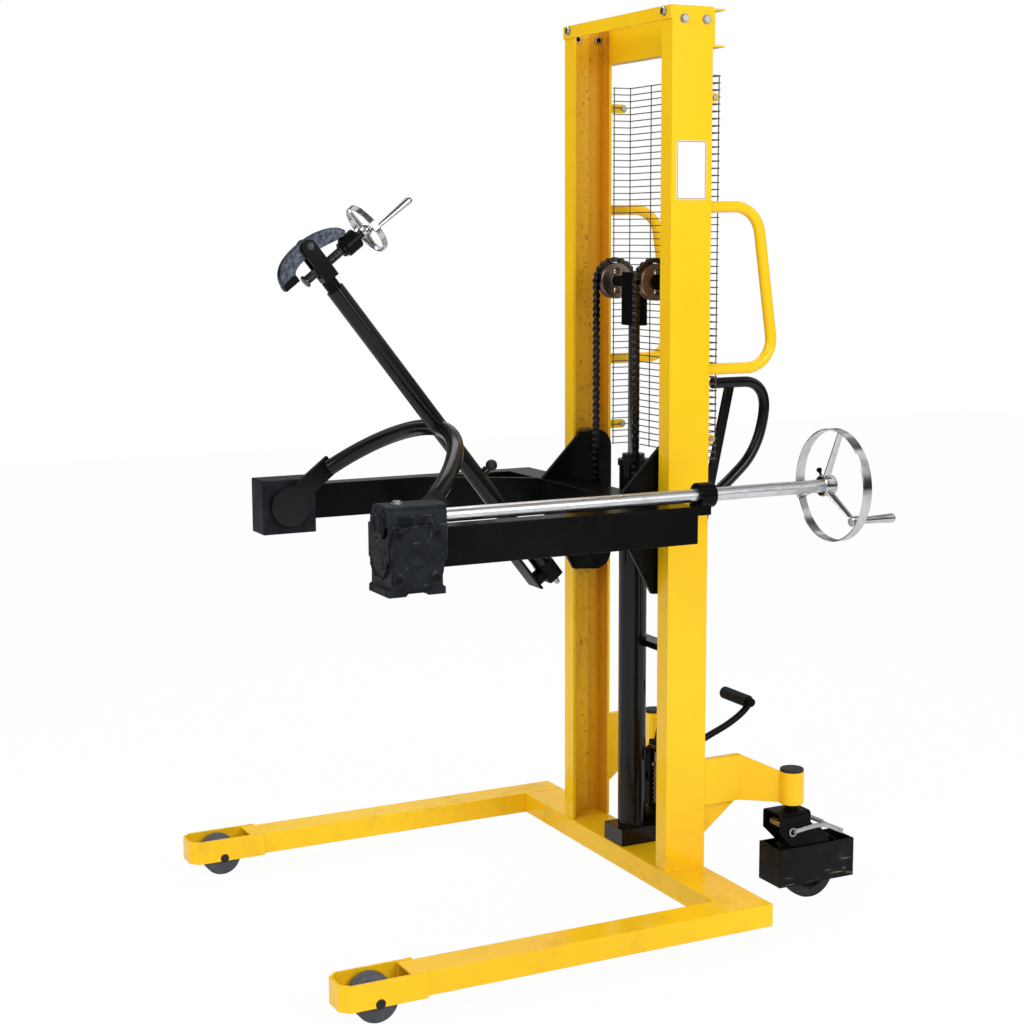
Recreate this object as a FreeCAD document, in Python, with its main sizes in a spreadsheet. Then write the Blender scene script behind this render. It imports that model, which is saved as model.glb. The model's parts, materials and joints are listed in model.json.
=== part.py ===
import FreeCAD, Part
import math
import os
import re
import Sketcher

# A hand-pumped lifting and tipping trolley for a round load.
# The model is first laid out about the mast: X across, Y from front to rear, Z up from the floor.
# Every node is then shifted along Y so that the origin is midway between the front and rear ends.

Vector = FreeCAD.Vector
Rotation = FreeCAD.Rotation
doc = FreeCAD.newDocument("tipper")
sheet = doc.addObject("Spreadsheet::Sheet", "Sizes")
names = []
nodes = []


def sizes(title, values):
    """Add a titled block of sizes, in millimetres or degrees, to the sheet."""
    sheet.set(f"A{len(names) + 1}", title)
    names.append(title)
    for name, number in values.items():
        row = len(names) + 1
        sheet.set(f"A{row}", name)
        sheet.set(f"B{row}", str(number))
        sheet.setAlias(f"B{row}", name)
        names.append(name)
    sheet.recompute()


def size(name):
    """Read one size back from the sheet as a number."""
    return float(sheet.get(name))


def bind(piece, prop, formula):
    """Tie a property to a formula of the sheet's names."""
    def refer(found):
        word = found.group(0)
        return "Sizes." + word if word in names else word
    piece.setExpression(prop, re.sub(r"[a-z]+(?:_[a-z]+)*", refer, formula))


def box(x, y, z):
    """Block between two places along X, along Y and along Z."""
    piece = doc.addObject("Part::Box", "Block")
    for axis, prop, (low, high) in zip("xyz", ("Length", "Width", "Height"), (x, y, z)):
        bind(piece, prop, f"({high}) - ({low})")
        bind(piece, f"Placement.Base.{axis}", low)
    return piece


TURNS = {
    "x": Rotation(Vector(0, 1, 0), 90),
    "y": Rotation(Vector(1, 0, 0), -90),
    "z": Rotation(),
}


def rod(axis, radius, ends, first, second):
    """Cylinder along one axis, placed at first and second on the other two axes in XYZ order."""
    piece = doc.addObject("Part::Cylinder", "Rod")
    piece.Placement = FreeCAD.Placement(Vector(), TURNS[axis])
    bind(piece, "Radius", radius)
    bind(piece, "Height", f"({ends[1]}) - ({ends[0]})")
    bind(piece, f"Placement.Base.{axis}", ends[0])
    for other, place in zip("xyz".replace(axis, ""), (first, second)):
        bind(piece, f"Placement.Base.{other}", place)
    return piece


def prism(axis, ends, points):
    """Outline in the other two axes, in XYZ order, padded between two places along one axis."""
    body = doc.addObject("PartDesign::Body", "Prism")
    role = {"x": "YZ_Plane", "y": "XZ_Plane", "z": "XY_Plane"}[axis]
    plane = [entry for entry in body.Origin.OriginFeatures if entry.Role == role][0]
    sketch = body.newObject("Sketcher::SketchObject", "Outline")
    sketch.AttachmentSupport = [(plane, "")]
    sketch.MapMode = "FlatFace"
    count = len(points)
    around = [2 * math.pi * index / count for index in range(count)]
    corners = [Vector(math.cos(angle), math.sin(angle), 0) for angle in around]
    for index in range(count):
        sketch.addGeometry(Part.LineSegment(corners[index], corners[(index + 1) % count]), False)
    for index in range(count):
        sketch.addConstraint(Sketcher.Constraint("Coincident", index, 2, (index + 1) % count, 1))
    for index, place in enumerate(points):
        for kind, share, formula in zip(("DistanceX", "DistanceY"), corners[index], place):
            number = sketch.addConstraint(Sketcher.Constraint(kind, -1, 1, index, 1, share))
            bind(sketch, f"Constraints[{number}]", formula)
    pad = body.newObject("PartDesign::Pad", "Pad")
    pad.Profile = sketch
    pad.Reversed = axis == "y"
    bind(pad, "Length", f"({ends[1]}) - ({ends[0]})")
    bind(body, f"Placement.Base.{axis}", ends[0])
    return body


def fuse(*pieces):
    """One solid of several overlapping ones."""
    joined = doc.addObject("Part::MultiFuse", "Joined")
    joined.Shapes = list(pieces)
    joined.Refine = True
    return joined


def cut(piece, *tools):
    """A piece less each tool in turn."""
    for tool in tools:
        less = doc.addObject("Part::Cut", "Less")
        less.Base = piece
        less.Tool = tool
        piece = less
    return piece


def common(piece, other):
    """What two pieces share."""
    shared = doc.addObject("Part::Common", "Shared")
    shared.Base = piece
    shared.Tool = other
    return shared


def ring(axis, outer, inner, ends, first, second):
    """Round piece with a bore right through it."""
    over = (f"({ends[0]}) - cut_over", f"({ends[1]}) + cut_over")
    return cut(rod(axis, outer, ends, first, second), rod(axis, inner, over, first, second))


def mirrored(piece):
    """The same piece on the other side of the machine."""
    other = doc.addObject("Part::Mirroring", "Mirrored")
    other.Source = piece
    other.Normal = Vector(1, 0, 0)
    return other


def freeform(shape):
    """Shape worked out in this script from the sheet's sizes."""
    piece = doc.addObject("Part::Feature", "Formed")
    piece.Shape = shape
    return piece


def rounded_path(points, radii):
    """Straight runs joined by tangent arcs of the given radii at the inner points."""
    edges = []
    start = points[0]
    for before, corner, after, radius in zip(points, points[1:], points[2:], radii):
        inward = (before - corner).normalize()
        outward = (after - corner).normalize()
        half = inward.getAngle(outward) / 2
        reach = radius / math.tan(half)
        first = corner + inward * reach
        last = corner + outward * reach
        centre = corner + (inward + outward).normalize() * (radius / math.sin(half))
        middle = centre + (corner - centre).normalize() * radius
        edges.append(Part.LineSegment(start, first).toShape())
        edges.append(Part.Arc(first, middle, last).toShape())
        start = last
    edges.append(Part.LineSegment(start, points[-1]).toShape())
    return Part.Wire(edges)


def swept(path, radius):
    """Round bar along a path that starts with a straight run."""
    first = path.OrderedEdges[0]
    start = first.valueAt(first.FirstParameter)
    heading = first.tangentAt(first.FirstParameter)
    profile = Part.Wire([Part.makeCircle(radius, start, heading)])
    return path.makePipeShell([profile], True, False)


def node(label, *pieces):
    """Name a group of solids and shift it from the mast to the origin."""
    group = doc.addObject("Part::Compound", label)
    group.Label = label
    group.Links = list(pieces)
    bind(group, "Placement.Base.y", MAST_Y)
    nodes.append(group)


def holder_node(label, *pieces):
    """Name a group laid out about the trunnions, and set it at the holder's tilt."""
    group = doc.addObject("Part::Compound", label)
    group.Label = label
    group.Links = list(pieces)
    group.Placement = FreeCAD.Placement(Vector(), Rotation(Vector(1, 0, 0), size("rest_tilt")))
    bind(group, "Placement.Rotation.Angle", "rest_tilt")
    bind(group, "Placement.Base.y", f"{MAST_Y} - trunnion_ahead")
    bind(group, "Placement.Base.z", TRUNNION_Z)
    nodes.append(group)


def pair(name, *pieces):
    """A left node and its mirror image."""
    node("left_" + name, *pieces)
    node("right_" + name, *[mirrored(piece) for piece in pieces])


WHOLE_MACHINE_AND_FITS = {
    "front_reach": 944, "rear_reach": 400, "cut_over": 3, "running_fit": 0.05, "bore_fit": 0.1,
    "face_gap": 0.3,
}
sizes("Whole machine and fits", WHOLE_MACHINE_AND_FITS)
MAST_Y = "(front_reach - rear_reach) / 2"

# Base: two straddle legs of box section, tied by a cross-beam under the mast

LEGS_AND_CROSS_BEAM = {
    "leg_inner": 442, "leg_width": 75, "leg_floor_gap": 40, "leg_height": 50, "leg_wall": 5,
    "leg_front": 795, "leg_rear": 49, "beam_front": 55,
}
sizes("Legs and cross-beam", LEGS_AND_CROSS_BEAM)
LEG_TOP = "(leg_floor_gap + leg_height)"


def build_base():
    long_span = ("leg_inner", "leg_inner + leg_width")
    leg = box(long_span, ("-leg_front", "leg_rear"), ("leg_floor_gap", LEG_TOP))
    hollow = box(("leg_inner + leg_wall", "leg_inner + leg_width - leg_wall"),
                 ("-leg_front - cut_over", "leg_rear - leg_wall"),
                 ("leg_floor_gap + leg_wall", f"{LEG_TOP} - leg_wall"))
    pair("leg", cut(leg, hollow))
    beam = box(("-leg_inner", "leg_inner"), ("-beam_front", "leg_rear"), ("leg_floor_gap", LEG_TOP))
    beam_hollow = box(("-leg_inner - cut_over", "leg_inner + cut_over"),
                      ("leg_wall - beam_front", "leg_rear - leg_wall"),
                      ("leg_floor_gap + leg_wall", f"{LEG_TOP} - leg_wall"))
    node("base_crossbeam", cut(beam, beam_hollow))


build_base()

# Front rollers: a bent strap round each leg's end, with a fixed axle and a solid roller

FRONT_ROLLERS = {
    "strap_wall": 5, "strap_length": 182, "strap_lip": 2, "strap_chamfer": 18,
    "strap_inner_chamfer": 16, "axle_back": 81, "axle_radius": 10, "axle_end": 1,
    "roller_radius": 45, "roller_width": 62,
}
sizes("Front rollers", FRONT_ROLLERS)
STRAP_IN = "(leg_inner - strap_wall)"
STRAP_OUT = "(leg_inner + leg_width + strap_wall)"
AXLE_Y = "(axle_back - front_reach)"


def build_front_rollers():
    strap_rear = "strap_length - front_reach"
    corner_y = "strap_chamfer - front_reach"
    inner_front = "strap_wall - front_reach"
    inner_corner_y = "strap_wall + strap_inner_chamfer - front_reach"
    leg_outer = "leg_inner + leg_width"
    outline = [
        (STRAP_IN, strap_rear), (STRAP_IN, corner_y), (f"{STRAP_IN} + strap_chamfer", "-front_reach"),
        (f"{STRAP_OUT} - strap_chamfer", "-front_reach"), (STRAP_OUT, corner_y),
        (STRAP_OUT, strap_rear), (leg_outer, strap_rear), (leg_outer, inner_corner_y),
        (f"{leg_outer} - strap_inner_chamfer", inner_front),
        ("leg_inner + strap_inner_chamfer", inner_front),
        ("leg_inner", inner_corner_y), ("leg_inner", strap_rear),
    ]
    strap = prism("z", ("leg_floor_gap - strap_lip", f"{LEG_TOP} + strap_lip"), outline)
    axle_ends = (f"{STRAP_IN} - axle_end", f"{STRAP_OUT} + axle_end")
    drilled = cut(strap, rod("x", "axle_radius + running_fit", axle_ends, AXLE_Y, "roller_radius"))
    axle = rod("x", "axle_radius", axle_ends, AXLE_Y, "roller_radius")
    pair("fork_bracket", drilled, axle)
    middle = "leg_inner + leg_width / 2"
    span = (f"{middle} - roller_width / 2", f"{middle} + roller_width / 2")
    pair("load_roller", ring("x", "roller_radius", "axle_radius + bore_fit", span, AXLE_Y,
                             "roller_radius"))


build_front_rollers()

# Mast: two channels that face each other, tied at the top, and a mesh guard behind them

MAST = {
    "mast_half_width": 238.5, "mast_half_depth": 50.8, "mast_top": 1988.5, "web": 6, "flange": 8,
    "flange_width": 43, "tie_bar": 4.2, "tie_bar_height": 28.5, "rear_beam_low": 1905,
    "rear_beam_high": 1985, "rear_beam_plate": 5, "rear_beam_lip": 4, "rear_beam_depth": 29.2,
}
sizes("Mast", MAST)
MESH_GUARD = {
    "mesh_low": 1012, "mesh_high": 1852, "mesh_wire": 3, "mesh_depth": 50.7, "mesh_rows": 49,
    "mesh_columns": 4, "mesh_gap": 1.2, "tab_plate": 4, "tab_reach": 31.2, "tab_half_height": 10,
    "tab_low": 1060, "tab_high": 1803,
}
sizes("Mesh guard", MESH_GUARD)
FASTENERS = {
    "bolt_radius": 6, "bolt_head": 10, "bolt_head_height": 6.5, "nut_height": 6,
    "side_bolt_front": 22, "side_bolt_rear": 33, "side_bolt_drop": 27.5, "front_bolt_x": 212,
    "front_bolt_drop": 11.5, "screw_radius": 3, "screw_head": 6, "screw_head_height": 4,
}
sizes("Fasteners", FASTENERS)
FLANGE_INNER = "(mast_half_width - flange_width)"
TAB_END = "(mast_half_depth + tab_reach)"
MESH_BACK = "(mast_half_depth + mesh_gap + mesh_depth)"
SIDE_BOLT_Z = "(mast_top - side_bolt_drop)"
FRONT_BOLT_Z = "(mast_top - front_bolt_drop)"


def build_uprights():
    outline = [
        ("mast_half_width", "-mast_half_depth"), ("mast_half_width", "mast_half_depth"),
        (FLANGE_INNER, "mast_half_depth"), (FLANGE_INNER, "mast_half_depth - flange"),
        ("mast_half_width - web", "mast_half_depth - flange"),
        ("mast_half_width - web", "flange - mast_half_depth"),
        (FLANGE_INNER, "flange - mast_half_depth"), (FLANGE_INNER, "-mast_half_depth"),
    ]
    upright = prism("z", (LEG_TOP, "mast_top"), outline)
    tab_span = (FLANGE_INNER, f"{FLANGE_INNER} + tab_plate")
    pieces = [upright]
    holes = []
    for height in ("tab_low", "tab_high"):
        pieces.append(box(tab_span, ("mast_half_depth - flange", TAB_END),
                          (f"{height} - tab_half_height", f"{height} + tab_half_height")))
        pieces.append(rod("x", "tab_half_height", tab_span, TAB_END, height))
        holes.append(rod("x", "screw_radius + running_fit",
                         (f"{FLANGE_INNER} - cut_over", f"{FLANGE_INNER} + tab_plate + cut_over"),
                         TAB_END, height))
    for place in ("-side_bolt_front", "side_bolt_rear"):
        holes.append(rod("x", "bolt_radius + running_fit",
                         ("mast_half_width - web - cut_over", "mast_half_width + cut_over"),
                         place, SIDE_BOLT_Z))
    holes.append(rod("y", "bolt_radius + running_fit",
                     ("-mast_half_depth - cut_over", "flange - mast_half_depth + cut_over"),
                     "front_bolt_x", FRONT_BOLT_Z))
    pair("upright", cut(fuse(*pieces), *holes))


def build_top():
    front = box(("-mast_half_width", "mast_half_width"),
                ("-mast_half_depth - tie_bar", "-mast_half_depth"),
                ("mast_top - tie_bar_height", "mast_top"))
    bar_hole = rod("y", "bolt_radius + running_fit",
                   ("-mast_half_depth - tie_bar - cut_over", "cut_over - mast_half_depth"),
                   "front_bolt_x", FRONT_BOLT_Z)
    bar = cut(front, bar_hole, mirrored(bar_hole))
    lip_end = "mast_half_depth + rear_beam_depth"
    plate_rear = "mast_half_depth + rear_beam_plate"
    beam = prism("x", ("-mast_half_width", "mast_half_width"), [
        ("mast_half_depth", "rear_beam_low"), (lip_end, "rear_beam_low"),
        (lip_end, "rear_beam_low + rear_beam_lip"), (plate_rear, "rear_beam_low + rear_beam_lip"),
        (plate_rear, "rear_beam_high - rear_beam_lip"), (lip_end, "rear_beam_high - rear_beam_lip"),
        (lip_end, "rear_beam_high"), ("mast_half_depth", "rear_beam_high"),
    ])
    node("top_crossmembers", bar, beam)


def bolt(axis, face, inner, first, second, way):
    """Hex-like bolt head on a face, its shank through the wall, and a nut inside the wall."""
    outward = "+" if way > 0 else "-"
    inward = "-" if way > 0 else "+"
    head_end = f"{face} {outward} bolt_head_height"
    nut_end = f"{inner} {inward} nut_height"
    tip = f"{nut_end} {inward} bolt_radius / 3"
    spans = [(face, head_end, "bolt_head"), (tip, face, "bolt_radius"), (nut_end, inner, "bolt_head")]
    pieces = []
    for low, high, radius in spans:
        ends = (low, high) if way > 0 else (high, low)
        pieces.append(rod(axis, radius, ends, first, second))
    return fuse(*pieces)


def build_fasteners():
    left = []
    for place in ("-side_bolt_front", "side_bolt_rear"):
        left.append(bolt("x", "mast_half_width", "(mast_half_width - web)", place, SIDE_BOLT_Z, 1))
    left.append(bolt("y", "(-mast_half_depth - tie_bar)", "(flange - mast_half_depth)",
                     "front_bolt_x", FRONT_BOLT_Z, -1))
    for height in ("tab_low", "tab_high"):
        head_span = (f"{FLANGE_INNER} + tab_plate", f"{FLANGE_INNER} + tab_plate + screw_head_height")
        head = rod("x", "screw_head", head_span, TAB_END, height)
        shank = rod("x", "screw_radius", (f"{FLANGE_INNER} - mesh_wire - screw_head_height",
                                          f"{FLANGE_INNER} + tab_plate"), TAB_END, height)
        washer = rod("x", "screw_head", (f"{FLANGE_INNER} - mesh_wire - screw_head_height",
                                         f"{FLANGE_INNER} - mesh_wire"), TAB_END, height)
        left.append(fuse(head, shank, washer))
    node("frame_fasteners", *left, *[mirrored(piece) for piece in left])


def holed_plate(width, height, thickness, columns, rows, wire):
    """Welded mesh as one face with its gaps cut out, thickened; it lies in the plane of X and Z."""
    pitch_x = (width - wire) / columns
    pitch_z = (height - wire) / rows
    outer = Part.makePolygon([Vector(0, 0, 0), Vector(width, 0, 0), Vector(width, 0, height),
                              Vector(0, 0, height), Vector(0, 0, 0)])
    wires = [outer]
    for column in range(columns):
        for row in range(rows):
            x = wire + column * pitch_x
            z = wire + row * pitch_z
            x_end = (column + 1) * pitch_x
            z_end = (row + 1) * pitch_z
            gap = Part.makePolygon([Vector(x, 0, z), Vector(x, 0, z_end), Vector(x_end, 0, z_end),
                                    Vector(x_end, 0, z), Vector(x, 0, z)])
            wires.append(gap)
    face = Part.Face(wires, "Part::FaceMakerBullseye")
    return face.extrude(Vector(0, thickness, 0))


def build_mesh_guard():
    """Flat mesh behind the mast with a side return at each upright."""
    wire = size("mesh_wire")
    rows = int(size("mesh_rows"))
    height = size("mesh_high") - size("mesh_low")
    outer = size("mast_half_width") - size("flange_width")
    front = size("mast_half_depth") + size("mesh_gap")
    back = holed_plate(2 * outer, height, wire, int(size("mesh_columns")), rows, wire)
    back.translate(Vector(-outer, front + size("mesh_depth") - wire, size("mesh_low")))
    side = holed_plate(size("mesh_depth") - wire, height, wire, 1, rows, wire)
    side.rotate(Vector(0, 0, 0), Vector(0, 0, 1), 90)
    side.translate(Vector(outer, front, size("mesh_low")))
    hole = Part.makeCylinder(size("screw_radius") + size("running_fit"), 2 * wire,
                             Vector(outer - 1.5 * wire, 0, 0), Vector(1, 0, 0))
    holes = [hole.translated(Vector(0, size("mast_half_depth") + size("tab_reach"), size(name)))
             for name in ("tab_low", "tab_high")]
    left = side.cut(holes)
    right = left.mirror(Vector(0, 0, 0), Vector(1, 0, 0))
    node("mesh_guard", freeform(back), freeform(left), freeform(right))
    print("mesh gaps", rows * (int(size("mesh_columns")) + 2))


build_uprights()
build_top()
build_fasteners()
build_mesh_guard()

# Handles: a bent tube on the rear face of each upright

REAR_HANDLES = {
    "handle_radius": 12.5, "handle_bore": 10.5, "handle_x": 216, "handle_low": 1216,
    "handle_high": 1568, "handle_high_rise": 2, "handle_top_reach": 184,
    "handle_bottom_reach": 236, "handle_bend_top": 66, "handle_bend_bottom": 62,
}
sizes("Rear handles", REAR_HANDLES)


def build_handles():
    x = size("handle_x")
    face = size("mast_half_depth")
    points = [Vector(x, face - size("flange"), size("handle_high")),
              Vector(x, size("handle_top_reach"), size("handle_high") + size("handle_high_rise")),
              Vector(x, size("handle_bottom_reach"), size("handle_low")),
              Vector(x, face - size("flange"), size("handle_low"))]
    path = rounded_path(points, [size("handle_bend_top"), size("handle_bend_bottom")])
    tube = swept(path, size("handle_radius")).cut(swept(path, size("handle_bore")))
    clear = Part.makeBox(2 * x, face, size("mast_top"), Vector(0, 0, 0))
    pair("rear_handle", freeform(tube.cut(clear)))


build_handles()

# Rear outriggers: cranked flat bars that carry the swivel castors

OUTRIGGERS = {
    "arm_inner": 218.5, "arm_thickness": 20, "arm_low": 231, "arm_high": 336, "arm_bend": 145,
    "arm_bend_inner": 153, "taper_start": 150, "taper_end": 225, "taper_low": 300,
    "arm_tip_x": 310, "arm_tip_y": 235, "arm_tip_inner_x": 296, "arm_tip_inner_y": 247,
    "gusset_low": 157, "gusset_reach": 93, "gusset_wall": 8, "pivot_x": 303, "pivot_y": 243,
    "sleeve_radius": 22, "sleeve_low": 228, "sleeve_high": 303,
}
sizes("Outriggers", OUTRIGGERS)
CASTORS = {
    "stem_radius": 11.95, "sleeve_bore": 12, "stem_end_gap": 3, "neck_radius": 15.5,
    "neck_low": 215, "crown_low": 209, "crown_front": 190, "crown_rear": 256, "cheek_in": 30,
    "cheek_out": 35, "cheek_front_low": 170, "cheek_step": 250, "cheek_step_low": 110,
    "cheek_rear_low": 150, "castor_axle_y": 290, "castor_axle_radius": 8, "wheel_radius": 62.5,
    "wheel_width": 40, "hub_radius": 15, "cheek_tip_y": 308, "cheek_tip_rise": 7.5,
    "cheek_heel_y": 284, "cheek_heel_drop": 16.5, "guard_half_width": 42, "guard_front": 186,
    "guard_rear": 390, "guard_low": 46, "guard_high": 135, "guard_wall": 4, "stud_y": 289,
    "stud_height": 88, "stud_radius": 5,
}
sizes("Castors", CASTORS)
BRAKE_PEDALS = {
    "pedal_y": 222, "pedal_z": 172, "pedal_bar": 5, "pedal_pin": 5, "pedal_eye": 11,
    "pedal_knee_y": 315, "pedal_knee_z": 178, "tread_y": 361, "tread_z": 152, "tread_front": 335,
    "tread_thickness": 5, "pedal_depth": 14,
}
sizes("Brake pedals", BRAKE_PEDALS)


def build_outriggers():
    arm = prism("z", ("arm_low", "arm_high"), [
        ("arm_inner", "mast_half_depth"), ("arm_inner + arm_thickness", "mast_half_depth"),
        ("arm_inner + arm_thickness", "arm_bend"), ("arm_tip_x", "arm_tip_y"),
        ("arm_tip_inner_x", "arm_tip_inner_y"), ("arm_inner", "arm_bend_inner"),
    ])
    above = "arm_high + cut_over"
    past = "pivot_y + sleeve_radius"
    taper = prism("x", ("arm_inner - cut_over", "pivot_x + sleeve_radius"), [
        ("taper_start", above), ("taper_start", "arm_high"), ("taper_end", "taper_low"),
        (past, "taper_low"), (past, above),
    ])
    sleeve = rod("z", "sleeve_radius", ("sleeve_low", "sleeve_high"), "pivot_x", "pivot_y")
    bore = rod("z", "sleeve_bore", ("sleeve_low - cut_over", "sleeve_high + cut_over"), "pivot_x",
               "pivot_y")
    gusset = prism("x", ("arm_inner", "arm_inner + gusset_wall"), [
        ("mast_half_depth", "arm_low"), ("mast_half_depth", "gusset_low"),
        ("mast_half_depth + gusset_reach", "arm_low"),
    ])
    pair("outrigger", cut(fuse(cut(arm, taper), sleeve, gusset), bore))


def offset_span(low, high):
    """Span across the castor at a positive distance from its pivot."""
    return (f"pivot_x + {low}", f"pivot_x + {high}")


def both_cheeks(builder, low, high):
    """The same piece on both sides of the castor's middle."""
    return builder(offset_span(low, high)), builder((f"pivot_x - ({high})", f"pivot_x - ({low})"))


def build_castors():
    stem = rod("z", "stem_radius", ("neck_low", "sleeve_high - stem_end_gap"), "pivot_x", "pivot_y")
    neck = rod("z", "neck_radius", ("neck_low", "sleeve_low - face_gap"), "pivot_x", "pivot_y")
    crown = box(("pivot_x - cheek_out", "pivot_x + cheek_out"),
                ("crown_front", "crown_rear + sleeve_radius / 2"),
                ("crown_low", "neck_low"))
    cheek_outline = [
        ("crown_front", "crown_low"), ("crown_front", "cheek_front_low"),
        ("cheek_step", "cheek_step_low"), ("cheek_heel_y", "wheel_radius - cheek_heel_drop"),
        ("cheek_tip_y", "wheel_radius + cheek_tip_rise"), ("crown_rear", "cheek_rear_low"),
        ("crown_rear", "crown_low"),
    ]
    cheeks = both_cheeks(lambda span: prism("x", span, cheek_outline), "cheek_in", "cheek_out")
    axle = rod("x", "castor_axle_radius", ("pivot_x - cheek_out", "pivot_x + cheek_out"),
               "castor_axle_y", "wheel_radius")
    pin = both_cheeks(lambda span: rod("x", "pedal_pin", span, "pedal_y", "pedal_z"),
                      "cheek_in", "cheek_out + pedal_bar + 2 * face_gap")
    studs = both_cheeks(lambda span: rod("x", "stud_radius", span, "stud_y", "stud_height"),
                        "cheek_in", "guard_half_width - guard_wall")
    lug_outline = [
        ("stud_y - stud_radius", "stud_height + stud_radius"),
        ("stud_y - stud_radius", "wheel_radius"),
        ("stud_y + stud_radius", "wheel_radius"),
        ("stud_y + stud_radius", "stud_height + stud_radius"),
    ]
    lugs = both_cheeks(lambda span: prism("x", span, lug_outline), "cheek_in", "cheek_out")
    pair("castor_fork", fuse(stem, neck, crown, *cheeks, axle, *pin, *studs, *lugs))
    outer = box(("pivot_x - guard_half_width", "pivot_x + guard_half_width"),
                ("guard_front", "guard_rear"), ("guard_low", "guard_high"))
    inner = box(("pivot_x - guard_half_width + guard_wall", "pivot_x + guard_half_width - guard_wall"),
                ("guard_front + guard_wall", "guard_rear - guard_wall"),
                ("guard_low - cut_over", "guard_high + cut_over"))
    pair("castor_guard", cut(outer, inner))
    tyre = rod("x", "wheel_radius", ("pivot_x - wheel_width / 2", "pivot_x + wheel_width / 2"),
               "castor_axle_y", "wheel_radius")
    hub_ends = ("pivot_x - cheek_in + face_gap", "pivot_x + cheek_in - face_gap")
    hub = rod("x", "hub_radius", hub_ends, "castor_axle_y", "wheel_radius")
    bore = rod("x", "castor_axle_radius + bore_fit", hub_ends, "castor_axle_y", "wheel_radius")
    pair("castor_wheel", cut(fuse(tyre, hub), bore))


def build_brake_pedals():
    bar_in = "cheek_out + face_gap"
    bar_out = "cheek_out + face_gap + pedal_bar"
    bar_outline = [
        ("pedal_y", "pedal_z + pedal_eye"), ("pedal_y", "pedal_z - pedal_eye"),
        ("pedal_knee_y", "pedal_knee_z - pedal_depth"),
        ("tread_y", "tread_z - tread_thickness / 2"), ("tread_y", "tread_z + tread_thickness / 2"),
        ("pedal_knee_y", "pedal_knee_z"),
    ]
    bars = both_cheeks(lambda span: prism("x", span, bar_outline), bar_in, bar_out)
    eyes = both_cheeks(lambda span: rod("x", "pedal_eye", span, "pedal_y", "pedal_z"), bar_in, bar_out)
    bores = both_cheeks(lambda span: rod("x", "pedal_pin + running_fit", span, "pedal_y", "pedal_z"),
                        f"{bar_in} - cut_over", f"{bar_out} + cut_over")
    tread_rise = "(pedal_knee_z - tread_z) * (tread_y - tread_front) / (tread_y - pedal_knee_y)"
    tread = prism("x", (f"pivot_x - ({bar_out})", f"pivot_x + {bar_out}"), [
        ("tread_front", f"tread_z - tread_thickness / 2 + {tread_rise}"),
        ("tread_y", "tread_z - tread_thickness / 2"), ("tread_y", "tread_z + tread_thickness / 2"),
        ("tread_front", f"tread_z + tread_thickness / 2 + {tread_rise}"),
    ])
    pair("brake_pedal", cut(fuse(*bars, *eyes, tread), *bores))


build_outriggers()
build_castors()
build_brake_pedals()

# Lift: a cylinder on the cross-beam, its ram with two chain sheaves, and two leaf chains

LIFT_CYLINDER = {
    "barrel_radius": 32.5, "barrel_bore": 28, "barrel_low": 130, "barrel_top": 985,
    "collar_radius": 36, "collar_height": 15, "gland_radius": 26, "gland_height": 12,
    "foot_half_width": 42, "foot_front": 50, "foot_rear": 110, "anchor_half_width": 100,
    "anchor_front": 20, "anchor_rear": 60, "anchor_low": 560, "anchor_high": 575,
}
sizes("Lift cylinder", LIFT_CYLINDER)
RAM = {
    "ram_radius": 13, "ram_low": 440, "piston_height": 40, "head_low": 1306, "head_high": 1426,
    "head_half_width": 26, "head_half_depth": 18, "cross_axle_height": 1405,
    "cross_axle_radius": 12.5, "cross_axle_end": 106, "sheave_x": 90, "sheave_half_width": 12,
    "sheave_radius": 42, "washer_radius": 18, "washer_gap": 1, "side_strap": 8,
    "strap_bolt_rise": 14, "lightening": 7, "lightening_circle": 26, "strap_half_depth": 14,
}
sizes("Ram", RAM)
CHAINS = {
    "chain_half_width": 8, "chain_thickness": 11.7,
}
sizes("Chains", CHAINS)
CHAIN_IN = "(sheave_radius + face_gap)"
CHAIN_OUT = "(sheave_radius + face_gap + chain_thickness)"
COLLAR_TOP = "(barrel_top + collar_height)"


def build_cylinder():
    foot = box(("-foot_half_width", "foot_half_width"), ("-foot_front", "foot_rear"),
               (LEG_TOP, "barrel_low"))
    tube = rod("z", "barrel_radius", ("barrel_low", "barrel_top"), "0", "0")
    collar = rod("z", "collar_radius", ("barrel_top", COLLAR_TOP), "0", "0")
    gland = rod("z", "gland_radius", (COLLAR_TOP, f"{COLLAR_TOP} + gland_height"), "0", "0")
    anchor = box(("-anchor_half_width", "anchor_half_width"), ("anchor_front", "anchor_rear"),
                 ("anchor_low", "anchor_high"))
    bore = rod("z", "barrel_bore", ("barrel_low", "barrel_top"), "0", "0")
    rod_hole = rod("z", "ram_radius + running_fit",
                   ("barrel_top - cut_over", f"{COLLAR_TOP} + gland_height + cut_over"),
                   "0", "0")
    node("lift_cylinder", cut(fuse(foot, tube, collar, gland, anchor), bore, rod_hole))


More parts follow.
